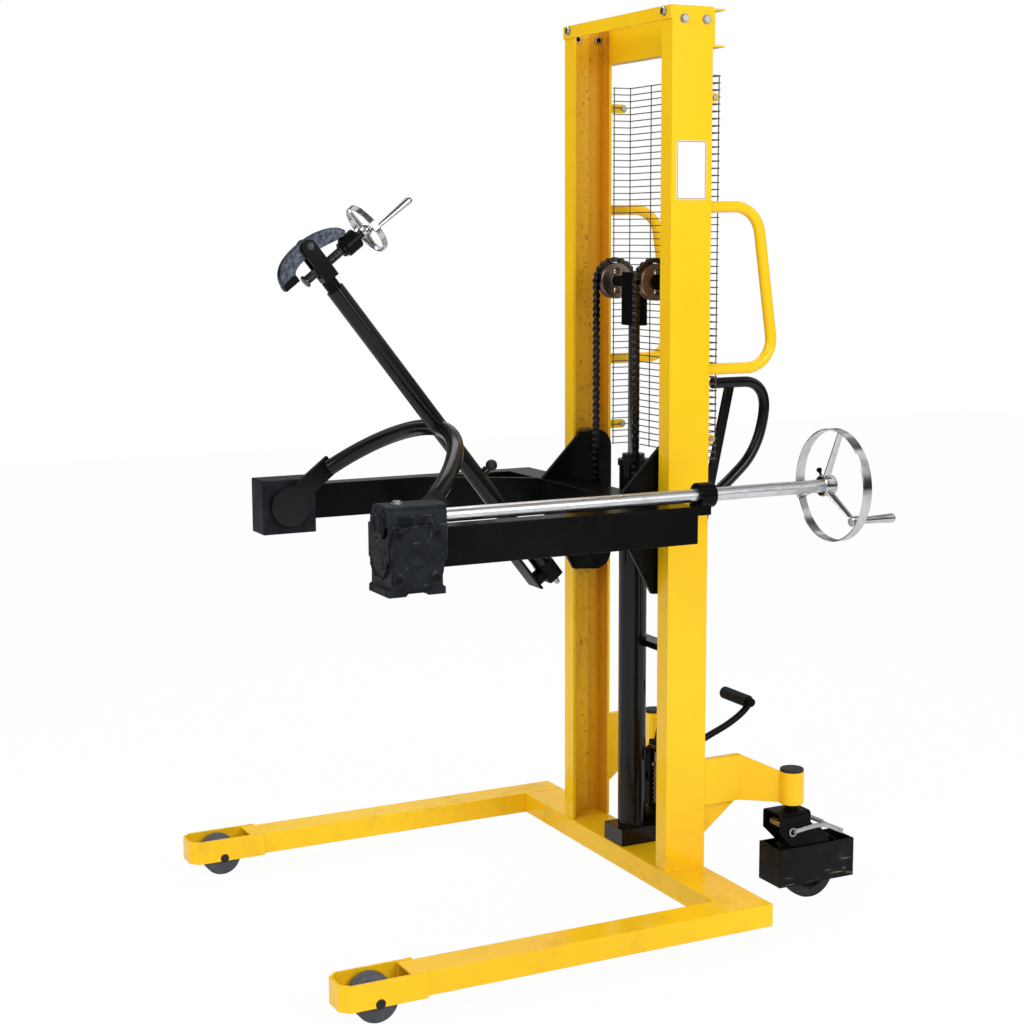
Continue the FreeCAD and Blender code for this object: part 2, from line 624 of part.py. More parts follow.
def build_ram():
    shaft = rod("z", "ram_radius", ("ram_low", "head_low"), "0", "0")
    piston = rod("z", "barrel_bore - running_fit", ("ram_low - piston_height", "ram_low"), "0", "0")
    node("piston_rod", fuse(shaft, piston))
    block = box(("-head_half_width", "head_half_width"), ("-head_half_depth", "head_half_depth"),
                ("head_low", "head_high"))
    strap = box(("head_half_width", "head_half_width + side_strap"),
                ("-strap_half_depth", "strap_half_depth"),
                ("head_low + strap_bolt_rise - strap_half_depth", "cross_axle_height + strap_half_depth"))
    nub = rod("x", "cross_axle_radius / 2", ("head_half_width", "head_half_width + 2 * side_strap"),
              "0", "head_low + strap_bolt_rise")
    axle_ends = ("-cross_axle_end", "cross_axle_end")
    axle = rod("x", "cross_axle_radius", axle_ends, "0", "cross_axle_height")
    washer_low = "sheave_x + sheave_half_width + washer_gap"
    washer = rod("x", "washer_radius", (washer_low, "cross_axle_end"), "0", "cross_axle_height")
    node("ram_head", fuse(block, strap, mirrored(strap), nub, axle, washer, mirrored(washer)))
    span = ("sheave_x - sheave_half_width", "sheave_x + sheave_half_width")
    wheel = ring("x", "sheave_radius", "cross_axle_radius + running_fit", span, "0", "cross_axle_height")
    over = (f"{span[0]} - cut_over", f"{span[1]} + cut_over")
    holes = []
    for quarter in range(4):
        angle = 90 * quarter
        holes.append(rod("x", "lightening", over, f"lightening_circle * cos({angle})",
                         f"cross_axle_height + lightening_circle * sin({angle})"))
    pair("sheave", cut(wheel, *holes))


def build_chains():
    across = ("sheave_x - chain_half_width", "sheave_x + chain_half_width")
    top = "cross_axle_height - face_gap"
    front = box(across, (f"-{CHAIN_OUT}", f"-{CHAIN_IN}"), (BEAM_TOP, top))
    node("front_chains", front, mirrored(front))
    rear = box(across, (CHAIN_IN, CHAIN_OUT), ("anchor_high", top))
    node("rear_chains", rear, mirrored(rear))
    loop = ring("x", CHAIN_OUT, CHAIN_IN, across, "0", "cross_axle_height")
    over_top = box((f"{across[0]} - cut_over", f"{across[1]} + cut_over"),
                   (f"-{CHAIN_OUT} - cut_over", f"{CHAIN_OUT} + cut_over"),
                   ("cross_axle_height", f"cross_axle_height + {CHAIN_OUT} + cut_over"))
    wrap = common(loop, over_top)
    node("chain_wraps", wrap, mirrored(wrap))


# Carriage: a cross-beam with two arms, on rollers that run inside the mast channels

CARRIAGE = {
    "carriage_low": 862, "carriage_height": 80, "carriage_half_width": 340, "beam_rear": 70,
    "beam_depth": 80, "carriage_wall": 5, "arm_width": 50, "arm_front": 662, "brace_thickness": 8,
    "brace_arm": 230, "brace_beam": 140, "lug_rear": 36, "lug_height": 37,
}
sizes("Carriage", CARRIAGE)
CARRIAGE_PLATES_AND_ROLLERS = {
    "plate_inner": 176, "plate_wall": 10, "plate_tip_y": 145, "plate_slope_y": 20,
    "plate_slope_z": 1048, "roller_high": 1010, "roller_low": 756, "track_radius": 42,
    "plate_round": 42, "plate_foot_y": 60, "plate_foot_z": 719, "plate_shoulder_y": 140,
    "pin_radius": 12, "track_inner": 203, "track_outer": 229, "pin_end": 1, "pin_head": 15,
    "pin_head_height": 6,
}
sizes("Carriage plates and rollers", CARRIAGE_PLATES_AND_ROLLERS)
BEAM_TOP = "(carriage_low + carriage_height)"
BEAM_FRONT = "(-beam_rear - beam_depth)"


def build_carriage_frame():
    beam = box(("-carriage_half_width", "carriage_half_width"), (BEAM_FRONT, "-beam_rear"),
               ("carriage_low", BEAM_TOP))
    hollow = box(("-carriage_half_width - cut_over", "carriage_half_width + cut_over"),
                 (f"{BEAM_FRONT} + carriage_wall", "-beam_rear - carriage_wall"),
                 ("carriage_low + carriage_wall", f"{BEAM_TOP} - carriage_wall"))
    across = ("sheave_x - chain_half_width", "sheave_x + chain_half_width")
    lug = box(across, ("-beam_rear - carriage_wall", "-lug_rear"), (f"{BEAM_TOP} - lug_height", BEAM_TOP))
    thick = "brace_thickness"
    brace = prism("z", ("carriage_low", BEAM_TOP), [
        ("carriage_half_width", f"{BEAM_FRONT} - brace_arm"),
        ("carriage_half_width", f"{BEAM_FRONT} - brace_arm + 2 * {thick}"),
        (f"carriage_half_width - brace_beam + {thick}", BEAM_FRONT),
        (f"carriage_half_width - brace_beam - {thick}", BEAM_FRONT),
    ])
    node("carriage_crossbeam", fuse(cut(beam, hollow), lug, mirrored(lug)), brace, mirrored(brace))
    span = ("carriage_half_width", "carriage_half_width + arm_width")
    arm = box(span, ("-arm_front", "-beam_rear"), ("carriage_low", BEAM_TOP))
    arm_hollow = box((f"{span[0]} + carriage_wall", f"{span[1]} - carriage_wall"),
                     ("-arm_front - cut_over", "-beam_rear - carriage_wall"),
                     ("carriage_low + carriage_wall", f"{BEAM_TOP} - carriage_wall"))
    pair("arm", cut(arm, arm_hollow))


def build_carriage_plates():
    outline = [
        ("-plate_tip_y", BEAM_TOP), ("-plate_slope_y - plate_round / 2", "plate_slope_z"),
        ("plate_round / 2", "plate_slope_z - plate_round / 8"), ("plate_round", "roller_high"),
        ("plate_round", "roller_low"), ("0", "roller_low - plate_round"),
        ("-plate_foot_y", "plate_foot_z"), ("-plate_shoulder_y", "carriage_low"),
        ("-beam_rear", "carriage_low"), ("-beam_rear", BEAM_TOP),
    ]
    span = ("plate_inner", "plate_inner + plate_wall")
    rounds = []
    pins = []
    for height in ("roller_high", "roller_low"):
        rounds.append(rod("x", "plate_round", span, "0", height))
        shank = rod("x", "pin_radius", ("plate_inner", "track_outer + pin_end"), "0", height)
        head = rod("x", "pin_head", ("plate_inner - pin_head_height", "plate_inner"), "0", height)
        pins.extend([shank, head])
    left = fuse(prism("x", span, outline), *rounds, *pins)
    node("carriage_plates", left, mirrored(left))
    track = ("track_inner", "track_outer")
    for name, height in (("upper_roller", "roller_high"), ("lower_roller", "roller_low")):
        pair(name, ring("x", "track_radius", "pin_radius + running_fit", track, "0", height))


build_cylinder()
build_ram()
build_chains()
build_carriage_frame()
build_carriage_plates()

# Tilting drive: a worm box on the left arm, a plain bearing on the right arm, and a hand shaft

TRUNNIONS = {
    "trunnion_ahead": 728, "trunnion_rise": 37, "trunnion_radius": 20, "left_pin_end": 405,
    "right_pin_end": 385, "rest_tilt": 38,
}
sizes("Trunnions", TRUNNIONS)
WORM_BOX = {
    "box_inner": 312, "box_outer": 414, "box_front": 789, "box_half": 61, "box_waist": 55,
    "box_waist_drop": 24,
    "box_low_drop": 85, "box_foot_drop": 71, "box_arch_half": 22, "box_arch_drop": 79,
    "shaft_x": 365, "shaft_rise": 63, "worm_case_radius": 31, "worm_case_front": 797,
    "wheel_outer": 45.7, "wheel_root": 41, "wheel_half_width": 17, "wheel_teeth": 30,
    "wheel_bay_gap": 3.3, "worm_radius": 17, "worm_bay_radius": 20, "worm_front": 765,
    "worm_rear": 700, "worm_bay_gap": 10, "flange_radius": 38, "flange_depth": 12,
}
sizes("Worm box", WORM_BOX)
WORM_BOX_COVER = {
    "cover_half": 53, "cover_wall": 3, "cover_height": 7, "cover_boss": 24, "rib_half": 4,
    "screw_offset": 42, "cover_screw": 7,
}
sizes("Worm box cover", WORM_BOX_COVER)
BEARINGS = {
    "block_inner": 312, "block_outer": 390, "block_front": 790, "block_drop": 64,
    "block_rise": 61, "collar_outer": 27, "collar_front": 60, "collar_rear": 22, "foot_half": 13,
    "foot_rear_y": 30, "foot_base_drop": 22, "foot_cap_drop": 17,
}
sizes("Bearings", BEARINGS)
HAND_SHAFT = {
    "shaft_radius": 14.5, "shaft_front": 780, "shaft_rear": 277, "rim_radius": 125,
    "rim_inner": 121, "rim_front": 283, "rim_rear": 307, "wheel_hub": 24, "wheel_hub_front": 262,
    "spoke_width": 15, "spoke_plate": 6, "grip_lug": 12, "grip_across": 80,
    "grip_drop": 70, "grip_radius": 12, "grip_pin": 5,
    "grip_cap": 5,
}
sizes("Hand shaft", HAND_SHAFT)
TRUNNION_Y = "(-trunnion_ahead)"
TRUNNION_Z = "(carriage_low + trunnion_rise)"
SHAFT_Z = f"({TRUNNION_Z} + shaft_rise)"
SPOKE_ANGLES = (79, -41, 199)


def spoke(radius, length, angle, x, y, z):
    """Round bar from a point, at an angle up from +X in the plane across Y."""
    piece = doc.addObject("Part::Cylinder", "Spoke")
    piece.Placement = FreeCAD.Placement(Vector(), Rotation(Vector(0, 1, 0), 90 - angle))
    bind(piece, "Radius", radius)
    bind(piece, "Height", length)
    for axis, place in zip("xyz", (x, y, z)):
        bind(piece, f"Placement.Base.{axis}", place)
    return piece


def strip(width, plate, length, angle, x, y, z):
    """Flat bar from a point, at an angle up from +X in the plane across Y."""
    across_share = round(math.sin(math.radians(angle)), 6)
    rise_share = round(math.cos(math.radians(angle)), 6)
    piece = doc.addObject("Part::Box", "Strip")
    piece.Placement = FreeCAD.Placement(Vector(), Rotation(Vector(0, 1, 0), 90 - angle))
    bind(piece, "Length", width)
    bind(piece, "Width", plate)
    bind(piece, "Height", length)
    bind(piece, "Placement.Base.x", f"{x} - {width} / 2 * ({across_share})")
    bind(piece, "Placement.Base.y", f"{y} - {plate} / 2")
    bind(piece, "Placement.Base.z", f"{z} + {width} / 2 * ({rise_share})")
    return piece


def build_worm_box():
    across = ("box_inner", "box_outer")
    upper = box(across, ("-box_front", "-arm_front"), (f"{TRUNNION_Z} - box_waist_drop", SHAFT_Z))
    waist, foot, bottom, arch = (
        f"{TRUNNION_Z} - {drop}"
        for drop in ("box_waist_drop", "box_foot_drop", "box_low_drop", "box_arch_drop"))
    outline = [("box_waist", waist), ("box_waist", foot), ("box_half", foot),
               ("box_half", bottom), ("box_arch_half", bottom), ("box_arch_half", arch)]
    rear = [(f"{TRUNNION_Y} + {along}", level) for along, level in outline]
    front = [(f"{TRUNNION_Y} - {along}", level) for along, level in reversed(outline)]
    lower = prism("x", across, rear + front)
    case = rod("y", "worm_case_radius", ("-worm_case_front", "-arm_front"), "shaft_x", SHAFT_Z)
    collar = rod("y", "flange_radius", ("-worm_case_front", "flange_depth - worm_case_front"),
                 "shaft_x", SHAFT_Z)
    bay = rod("x", "wheel_outer + wheel_bay_gap",
              ("shaft_x - wheel_half_width - wheel_bay_gap",
               "shaft_x + wheel_half_width + wheel_bay_gap"),
              TRUNNION_Y, TRUNNION_Z)
    worm_bay = rod("y", "worm_bay_radius", ("-worm_front - worm_bay_gap", "worm_bay_gap - worm_rear"),
                   "shaft_x", SHAFT_Z)
    pin_bore = rod("x", "trunnion_radius + running_fit", ("box_inner - cut_over", "box_outer + cut_over"),
                   TRUNNION_Y, TRUNNION_Z)
    shaft_bore = rod("y", "shaft_radius + running_fit",
                     ("-worm_case_front + flange_depth / 2",
                      "cut_over - arm_front"), "shaft_x", SHAFT_Z)
    housing = cut(fuse(upper, lower, case, collar), bay, worm_bay, pin_bore, shaft_bore)
    node("gearbox_housing", housing)
    low = f"{TRUNNION_Z} - cover_half"
    high = f"{TRUNNION_Z} + cover_half"
    plate = box(("box_outer", "box_outer + cover_wall"),
                (f"{TRUNNION_Y} - cover_half", f"{TRUNNION_Y} + cover_half"), (low, high))
    boss = rod("x", "cover_boss", ("box_outer", "box_outer + cover_height"), TRUNNION_Y,
               TRUNNION_Z)
    pieces = [plate, boss]
    for way in ("+", "-"):
        other = "-" if way == "+" else "+"
        rib_y = f"{TRUNNION_Y} {way} screw_offset"
        rib_y_far = f"{TRUNNION_Y} {other} screw_offset"
        pieces.append(prism("x", ("box_outer", "box_outer + cover_height"), [
            (f"{rib_y_far} + rib_half", f"{TRUNNION_Z} - screw_offset"),
            (f"{rib_y} + rib_half", f"{TRUNNION_Z} + screw_offset"),
            (f"{rib_y} - rib_half", f"{TRUNNION_Z} + screw_offset"),
            (f"{rib_y_far} - rib_half", f"{TRUNNION_Z} - screw_offset"),
        ]))
        for rise in ("+", "-"):
            pieces.append(rod("x", "cover_screw", ("box_outer", "box_outer + cover_height"), rib_y,
                              f"{TRUNNION_Z} {rise} screw_offset"))
    node("gearbox_cover", fuse(*pieces))


def build_worm_wheel():
    """Toothed wheel on the left trunnion, inside the worm box."""
    teeth = int(size("wheel_teeth"))
    points = []
    for tooth in range(teeth):
        for share, radius in ((0, "wheel_root"), (0.3, "wheel_root"), (0.45, "wheel_outer"),
                              (0.85, "wheel_outer")):
            angle = 2 * math.pi * (tooth + share) / teeth
            points.append(Vector(0, size(radius) * math.cos(angle), size(radius) * math.sin(angle)))
    points.append(points[0])
    blank = Part.Face(Part.makePolygon(points)).extrude(Vector(2 * size("wheel_half_width"), 0, 0))
    blank.translate(Vector(size("shaft_x") - size("wheel_half_width"), 0, 0))
    bore = Part.makeCylinder(size("trunnion_radius"), size("box_outer"), Vector(), Vector(1, 0, 0))
    holder_node("worm_wheel", freeform(blank.cut(bore)))


def build_bearings():
    block = box(("-block_outer", "-block_inner"), ("-block_front", "-arm_front"),
                (f"{TRUNNION_Z} - block_drop", f"{TRUNNION_Z} + block_rise"))
    bore = rod("x", "trunnion_radius + running_fit",
               ("-right_pin_end - face_gap", "cut_over - block_inner"),
               TRUNNION_Y, TRUNNION_Z)
    node("right_bearing_block", cut(block, bore))
    sleeve = rod("y", "collar_outer", ("-collar_front", "-collar_rear"), "shaft_x", SHAFT_Z)
    foot = box(("shaft_x - foot_half", "shaft_x + foot_half"), ("-beam_rear", "-foot_rear_y"),
               (f"{BEAM_TOP} - foot_base_drop", f"{SHAFT_Z} - foot_cap_drop"))
    bore = rod("y", "shaft_radius + bore_fit", ("-beam_rear - cut_over", "0"), "shaft_x", SHAFT_Z)
    node("shaft_collar", cut(fuse(sleeve, foot), bore))


def build_hand_shaft():
    shaft = rod("y", "shaft_radius", ("-shaft_front", "shaft_rear"), "shaft_x", SHAFT_Z)
    worm = rod("y", "worm_radius", ("-worm_front", "-worm_rear"), "shaft_x", SHAFT_Z)
    node("worm_shaft", fuse(shaft, worm))
    rim = ring("y", "rim_radius", "rim_inner", ("rim_front", "rim_rear"), "shaft_x", SHAFT_Z)
    hub = rod("y", "wheel_hub", ("wheel_hub_front", "rim_rear"), "shaft_x", SHAFT_Z)
    middle = "(rim_front + rim_rear) / 2"
    reach = "(rim_inner + rim_radius) / 2"
    spokes = [strip("spoke_width", "spoke_plate", reach, angle, "shaft_x", middle, SHAFT_Z)
              for angle in SPOKE_ANGLES]
    socket = rod("y", "shaft_radius", ("wheel_hub_front - cut_over", "shaft_rear"), "shaft_x", SHAFT_Z)
    grip_at = ("shaft_x + grip_across", f"{SHAFT_Z} - grip_drop")
    pin = rod("y", "grip_pin", (middle, "rear_reach - grip_cap - face_gap"), *grip_at)
    lug = rod("y", "grip_lug", ("rim_front", "rim_rear"), *grip_at)
    node("handwheel", fuse(cut(fuse(rim, hub, lug, *spokes), socket), pin))
    grip = rod("y", "grip_radius", ("rim_rear + face_gap", "rear_reach"), *grip_at)
    grip_bore = rod("y", "grip_pin + bore_fit", ("rim_rear - cut_over", "rear_reach - grip_cap"),
                    *grip_at)
    node("crank_grip", cut(grip, grip_bore))


build_worm_box()
build_worm_wheel()
build_bearings()
build_hand_shaft()

# Holder, laid out about its trunnions: Y runs out to the spine and Z along the load's axis

HOOP = {
    "hoop_radius": 325, "hoop_tube": 18, "hoop_centre": -20, "hoop_level": 10, "hoop_start": 26.5,
    "cheek_inner": 298, "cheek_outer": 310, "cheek_round": 45, "strap_end": 140, "strap_half": 22,
}
sizes("Hoop", HOOP)
SPINE = {
    "spine_y": 308, "spine_radius": 20, "spine_bore": 16.1, "spine_low": -420, "spine_high": 394,
    "knob_level": -140, "boss_radius": 10, "boss_end": 338, "knob_stem": 5, "knob_stem_end": 345,
    "knob_ball": 13, "knob_centre": 352,
}
sizes("Spine", SPINE)
LOWER_CLAMP = {
    "clamp_front": 284, "clamp_rear": 332, "clamp_half": 22, "clamp_low": -443,
    "clamp_high": -395, "cross_front": 266, "cross_low": -430, "cross_high": -405,
    "shoe_front": 262, "shoe_rear": 268, "shoe_half": 30, "shoe_low": -434, "shoe_high": -330,
    "bolt_low": -463, "bolt_round": 8, "bolt_y": 312,
}
sizes("Lower clamp", LOWER_CLAMP)
CLAMP_HEAD = {
    "slide_radius": 16, "slide_bore": 12, "slide_low": -180, "slide_high": 418,
    "link_block_high": 432, "link_inner": 13, "link_outer": 19, "link_front": 296,
    "link_rear": 330, "link_high": 517, "jaw_pivot_y": 317, "jaw_pivot_z": 501, "jaw_pin": 7,
    "jaw_half": 10, "jaw_inner_y": 218, "jaw_length": 185, "jaw_low": 458, "jaw_height": 59,
    "nut_radius": 22, "nut_front": 369, "nut_rear": 416,
}
sizes("Clamp head", CLAMP_HEAD)
CLAMP_SCREW = {
    "screw_level": 447, "screw_rod": 10, "screw_front": 264, "screw_rear": 427, "pad_radius": 14,
    "pad_depth": 6, "hand_y": 444, "hand_radius": 57, "hand_tube": 7, "hand_hub": 16,
    "hand_spoke": 5, "crank_end": 545, "crank_radius": 8,
}
sizes("Clamp screw", CLAMP_SCREW)
JAW_SHARES = [
    (1.0, 0.34), (0.935, 0.593), (0.757, 0.839), (0.589, 1.0), (0.308, 1.0), (0.114, 0.915),
    (0.0, 0.695), (0.011, 0.034), (0.2, 0.0), (0.208, 0.331), (0.378, 0.441), (0.624, 0.39),
    (0.805, 0.254), (0.951, 0.153),
]


def build_hoop():
    hoop = doc.addObject("Part::Torus", "Hoop")
    hoop.Placement = FreeCAD.Placement(Vector(), Rotation(Vector(0, 0, 1), size("hoop_start")))
    bind(hoop, "Radius1", "hoop_radius")
    bind(hoop, "Radius2", "hoop_tube")
    bind(hoop, "Angle3", "180 - 2 * hoop_start")
    bind(hoop, "Placement.Rotation.Angle", "hoop_start")
    bind(hoop, "Placement.Base.y", "hoop_centre")
    bind(hoop, "Placement.Base.z", "hoop_level")
    span = ("cheek_inner", "cheek_outer")
    round_end = rod("x", "cheek_round", span, "0", "0")
    strap = box(span, ("0", "strap_end"), ("hoop_level - strap_half", "hoop_level + strap_half"))
    left_pin = rod("x", "trunnion_radius", ("cheek_inner", "left_pin_end"), "0", "0")
    right_pin = rod("x", "trunnion_radius", ("-right_pin_end", "-cheek_inner"), "0", "0")
    seat = rod("z", "spine_radius", ("hoop_level - 2 * hoop_tube", "hoop_level + 2 * hoop_tube"),
               "0", "spine_y")
    whole = fuse(hoop, round_end, mirrored(round_end), strap, mirrored(strap), left_pin, right_pin)
    holder_node("holder_hoop", cut(whole, seat))


def build_spine():
    tube = rod("z", "spine_radius", ("spine_low", "spine_high"), "0", "spine_y")
    bore = rod("z", "spine_bore", ("spine_low - cut_over", "spine_high + cut_over"), "0", "spine_y")
    boss = rod("y", "boss_radius", ("spine_y + spine_bore", "boss_end"), "0", "knob_level")
    stem_hole = rod("y", "knob_stem + bore_fit", ("spine_y", "boss_end + cut_over"), "0", "knob_level")
    holder_node("spine_tube", cut(fuse(tube, boss), bore, stem_hole))
    stem = rod("y", "knob_stem", ("spine_y + slide_radius + face_gap", "knob_stem_end"), "0",
               "knob_level")
    ball = doc.addObject("Part::Sphere", "Ball")
    bind(ball, "Radius", "knob_ball")
    bind(ball, "Placement.Base.y", "knob_centre")
    bind(ball, "Placement.Base.z", "knob_level")
    holder_node("lock_knob", fuse(stem, ball))


def build_lower_clamp():
    collar = box(("-clamp_half", "clamp_half"), ("clamp_front", "clamp_rear"),
                 ("clamp_low", "clamp_high"))
    cross = box(("-clamp_half", "clamp_half"), ("cross_front", "clamp_front"),
                ("cross_low", "cross_high"))
    shoe = box(("-shoe_half", "shoe_half"), ("shoe_front", "shoe_rear"), ("shoe_low", "shoe_high"))
    seat = rod("z", "spine_radius", ("spine_low", "clamp_high + cut_over"), "0", "spine_y")
    bolt_end = rod("z", "bolt_round", ("bolt_low", "clamp_low"), "0", "bolt_y")
    holder_node("lower_clamp", fuse(cut(fuse(collar, cross, shoe), seat), bolt_end))


def build_clamp_head():
    inner = rod("z", "slide_radius", ("slide_low", "slide_high"), "0", "spine_y")
    inner_bore = rod("z", "slide_bore", ("slide_low - cut_over", "slide_high"), "0", "spine_y")
    block = box(("-link_outer", "link_outer"), ("link_front", "link_rear"),
                ("slide_high", "link_block_high"))
    cheeks = []
    for span in (("link_inner", "link_outer"), ("-link_outer", "-link_inner")):
        middle = "(link_front + link_rear) / 2"
        half = "(link_rear - link_front) / 2"
        cheeks.append(box(span, ("link_front", "link_rear"), ("slide_high", f"link_high - {half}")))
        cheeks.append(rod("x", half, span, middle, f"link_high - {half}"))
    pin = rod("x", "jaw_pin", ("-link_outer", "link_outer"), "jaw_pivot_y", "jaw_pivot_z")
    holder_node("clamp_link", fuse(cut(inner, inner_bore), block, *cheeks, pin))
    outline = [(f"jaw_inner_y + {along} * jaw_length", f"jaw_low + {up} * jaw_height") for along,
               up in JAW_SHARES]
    jaw = prism("x", ("-jaw_half", "jaw_half"), outline)
    nut = rod("y", "nut_radius", ("nut_front", "nut_rear"), "0", "screw_level")
    thread = rod("y", "screw_rod + running_fit", ("nut_front - cut_over", "nut_rear + cut_over"),
                 "0", "screw_level")
    pivot = rod("x", "jaw_pin + running_fit", ("-link_outer", "link_outer"), "jaw_pivot_y", "jaw_pivot_z")
    holder_node("clamp_jaw", cut(fuse(jaw, nut), thread, pivot))


def build_clamp_screw():
    at = ("0", "screw_level")
    bar = rod("y", "screw_rod", ("screw_front", "screw_rear"), *at)
    pad = rod("y", "pad_radius", ("screw_front", "screw_front + pad_depth"), *at)
    hub = rod("y", "hand_hub", ("screw_rear", "hand_y + hand_tube"), *at)
    rim = doc.addObject("Part::Torus", "Rim")
    rim.Placement = FreeCAD.Placement(Vector(), TURNS["y"])
    bind(rim, "Radius1", "hand_radius - hand_tube")
    bind(rim, "Radius2", "hand_tube")
    bind(rim, "Placement.Base.y", "hand_y")
    bind(rim, "Placement.Base.z", "screw_level")
    spokes = [spoke("hand_spoke", "hand_radius - hand_tube", angle, "0", "hand_y", "screw_level")
              for angle in (0, 120, 240)]
    crank = rod("y", "crank_radius", ("hand_y", "crank_end"), "hand_radius - hand_tube", "screw_level")
    holder_node("clamp_screw", fuse(bar, pad, hub, rim, *spokes, crank))


build_hoop()
build_spine()
build_lower_clamp()
build_clamp_head()
build_clamp_screw()

# Pump: a plunger pump behind the cylinder, worked by a tiller or by a foot pedal

PUMP = {
    "pump_half_width": 30, "pump_front": 45, "pump_rear": 105, "pump_high": 160, "ear_inner": 16,
    "ear_outer": 22, "ear_front": 60, "ear_rear": 95, "ear_top": 322, "plunger_y": 72,
    "plunger_radius": 8, "plunger_gap": 2, "seat_height": 8, "seat_radius": 14,
    "spring_length": 94, "spring_coil": 13, "spring_wire": 2, "spring_turns": 9,
    "plunger_collar": 6, "pivot_height": 310, "pivot_pin": 6, "pedal_hub_y": 85,
    "pedal_hub_z": 285, "stub_radius": 8, "stub_end": 66,
}
sizes("Pump", PUMP)
TILLER = {
    "tiller_hub": 14, "tiller_half_width": 6, "tiller_half_depth": 11, "tiller_top_y": 262,
    "tiller_top_z": 1165, "loop_radius": 13, "loop_front": 212, "loop_rear": 362,
    "loop_lower_y": 352, "loop_lower_z": 1010, "loop_heel_y": 300, "loop_heel_z": 950,
    "loop_end_y": 200, "loop_end_z": 888, "loop_bend": 34, "loop_bend_lower": 60,
    "loop_bend_heel": 70,
}
sizes("Tiller", TILLER)
FOOT_PEDAL = {
    "foot_hub": 16, "foot_hub_start": 24, "foot_hub_end": 68, "foot_arm_x": 60,
    "foot_arm_radius": 8, "foot_knee_y": 176, "foot_knee_z": 338, "foot_mid_y": 235,
    "foot_mid_z": 358, "foot_end_y": 292, "foot_end_z": 402, "foot_bend": 150, "foot_grip": 15,
    "foot_grip_end": -55,
}
sizes("Foot pedal", FOOT_PEDAL)
SEAT_TOP = "(pump_high + seat_height)"
SPRING_TOP = "(pump_high + seat_height + spring_length)"


def biarc(start, start_way, end, end_way):
    """Two arcs that join two points with the given headings."""
    chord = end - start
    both = start_way + end_way
    turn = 2 * (1 - start_way.dot(end_way))
    along = chord.dot(both)
    reach = (math.sqrt(along * along + turn * chord.dot(chord)) - along) / turn
    first = start + start_way * reach
    second = end - end_way * reach
    joint = (first + second) * 0.5
    arcs = []
    for low, apex, high in ((start, first, joint), (joint, second, end)):
        middle = (low + high) * 0.5
        half = (high - low).Length / 2
        rise = apex - middle
        bulge = half * math.tan(math.atan2(rise.Length, half) / 2)
        arcs.append(Part.Arc(low, middle + rise.normalize() * bulge, high).toShape())
    return arcs


def spring_shape():
    """Round wire wound about a vertical axis, on a quarter turn of arcs at a time."""
    radius = size("spring_coil")
    wire = size("spring_wire")
    turns = int(size("spring_turns"))
    rise = (size("spring_length") - 2 * wire) / turns
    steep = rise / (2 * math.pi)
    centre = Vector(0, size("plunger_y"), size("pump_high") + size("seat_height") + wire)
    edges = []

    def place(quarter):
        angle = quarter * math.pi / 2
        flat = Vector(math.cos(angle), math.sin(angle), 0) * radius
        return centre + flat + Vector(0, 0, steep * angle)

    def heading(quarter):
        angle = quarter * math.pi / 2
        return Vector(-radius * math.sin(angle), radius * math.cos(angle), steep).normalize()

    for quarter in range(4 * turns):
        edges.extend(biarc(place(quarter), heading(quarter), place(quarter + 1), heading(quarter + 1)))
    points = [place(step / 4) for step in range(16 * turns)]
    near = min((one - other).Length for index, one in enumerate(points) for other in points[index + 9:])
    print("spring gap", round(near - 2 * wire, 2))
    return swept(Part.Wire(edges), wire)


def build_pump():
    at = ("0", "plunger_y")
    block = box(("-pump_half_width", "pump_half_width"), ("pump_front", "pump_rear"),
                ("barrel_low", "pump_high"))
    seat = rod("z", "seat_radius", ("pump_high", SEAT_TOP), *at)
    bore = rod("z", "plunger_radius + bore_fit", ("barrel_low", f"{SEAT_TOP} + cut_over"), *at)
    ears = [box(span, ("ear_front", "ear_rear"), ("barrel_low", "ear_top"))
            for span in (("ear_inner", "ear_outer"), ("-ear_outer", "-ear_inner"))]
    pin = rod("x", "pivot_pin", ("-ear_outer", "ear_outer"), "plunger_y", "pivot_height")
    stub = rod("x", "stub_radius", ("ear_outer", "stub_end"), "pedal_hub_y", "pedal_hub_z")
    node("pump_body", fuse(cut(fuse(block, seat), bore), *ears, pin, stub))
    plunger_top = "pivot_height - tiller_hub - plunger_gap"
    plunger = rod("z", "plunger_radius", ("pump_high", plunger_top), *at)
    collar = rod("z", "seat_radius", (SPRING_TOP, f"{SPRING_TOP} + plunger_collar"), *at)
    node("pump_plunger", fuse(plunger, collar))
    node("pump_spring", freeform(spring_shape()))


def build_tiller():
    lean = "(tiller_top_y - plunger_y) / (tiller_top_z - pivot_height)"
    hub_span = ("face_gap - ear_inner", "ear_inner - face_gap")
    hub = rod("x", "tiller_hub", hub_span, "plunger_y", "pivot_height")
    hub_bore = rod("x", "pivot_pin + bore_fit", ("-ear_outer", "ear_outer"), "plunger_y", "pivot_height")
    bar = prism("x", ("-tiller_half_width", "tiller_half_width"), [
        ("plunger_y - tiller_half_depth", "pivot_height"),
        ("plunger_y + tiller_half_depth", "pivot_height"),
        ("tiller_top_y + tiller_half_depth", "tiller_top_z"),
        ("tiller_top_y - tiller_half_depth", "tiller_top_z"),
    ])
    path = rounded_path([
        Vector(0, size("loop_front"), size("tiller_top_z")),
        Vector(0, size("loop_rear"), size("tiller_top_z")),
        Vector(0, size("loop_lower_y"), size("loop_lower_z")),
        Vector(0, size("loop_heel_y"), size("loop_heel_z")),
        Vector(0, size("loop_end_y"), size("loop_end_z")),
    ], [size("loop_bend"), size("loop_bend_lower"), size("loop_bend_heel")])
    loop = freeform(swept(path, size("loop_radius")))
    node("pump_tiller", fuse(cut(fuse(hub, bar), hub_bore), loop))


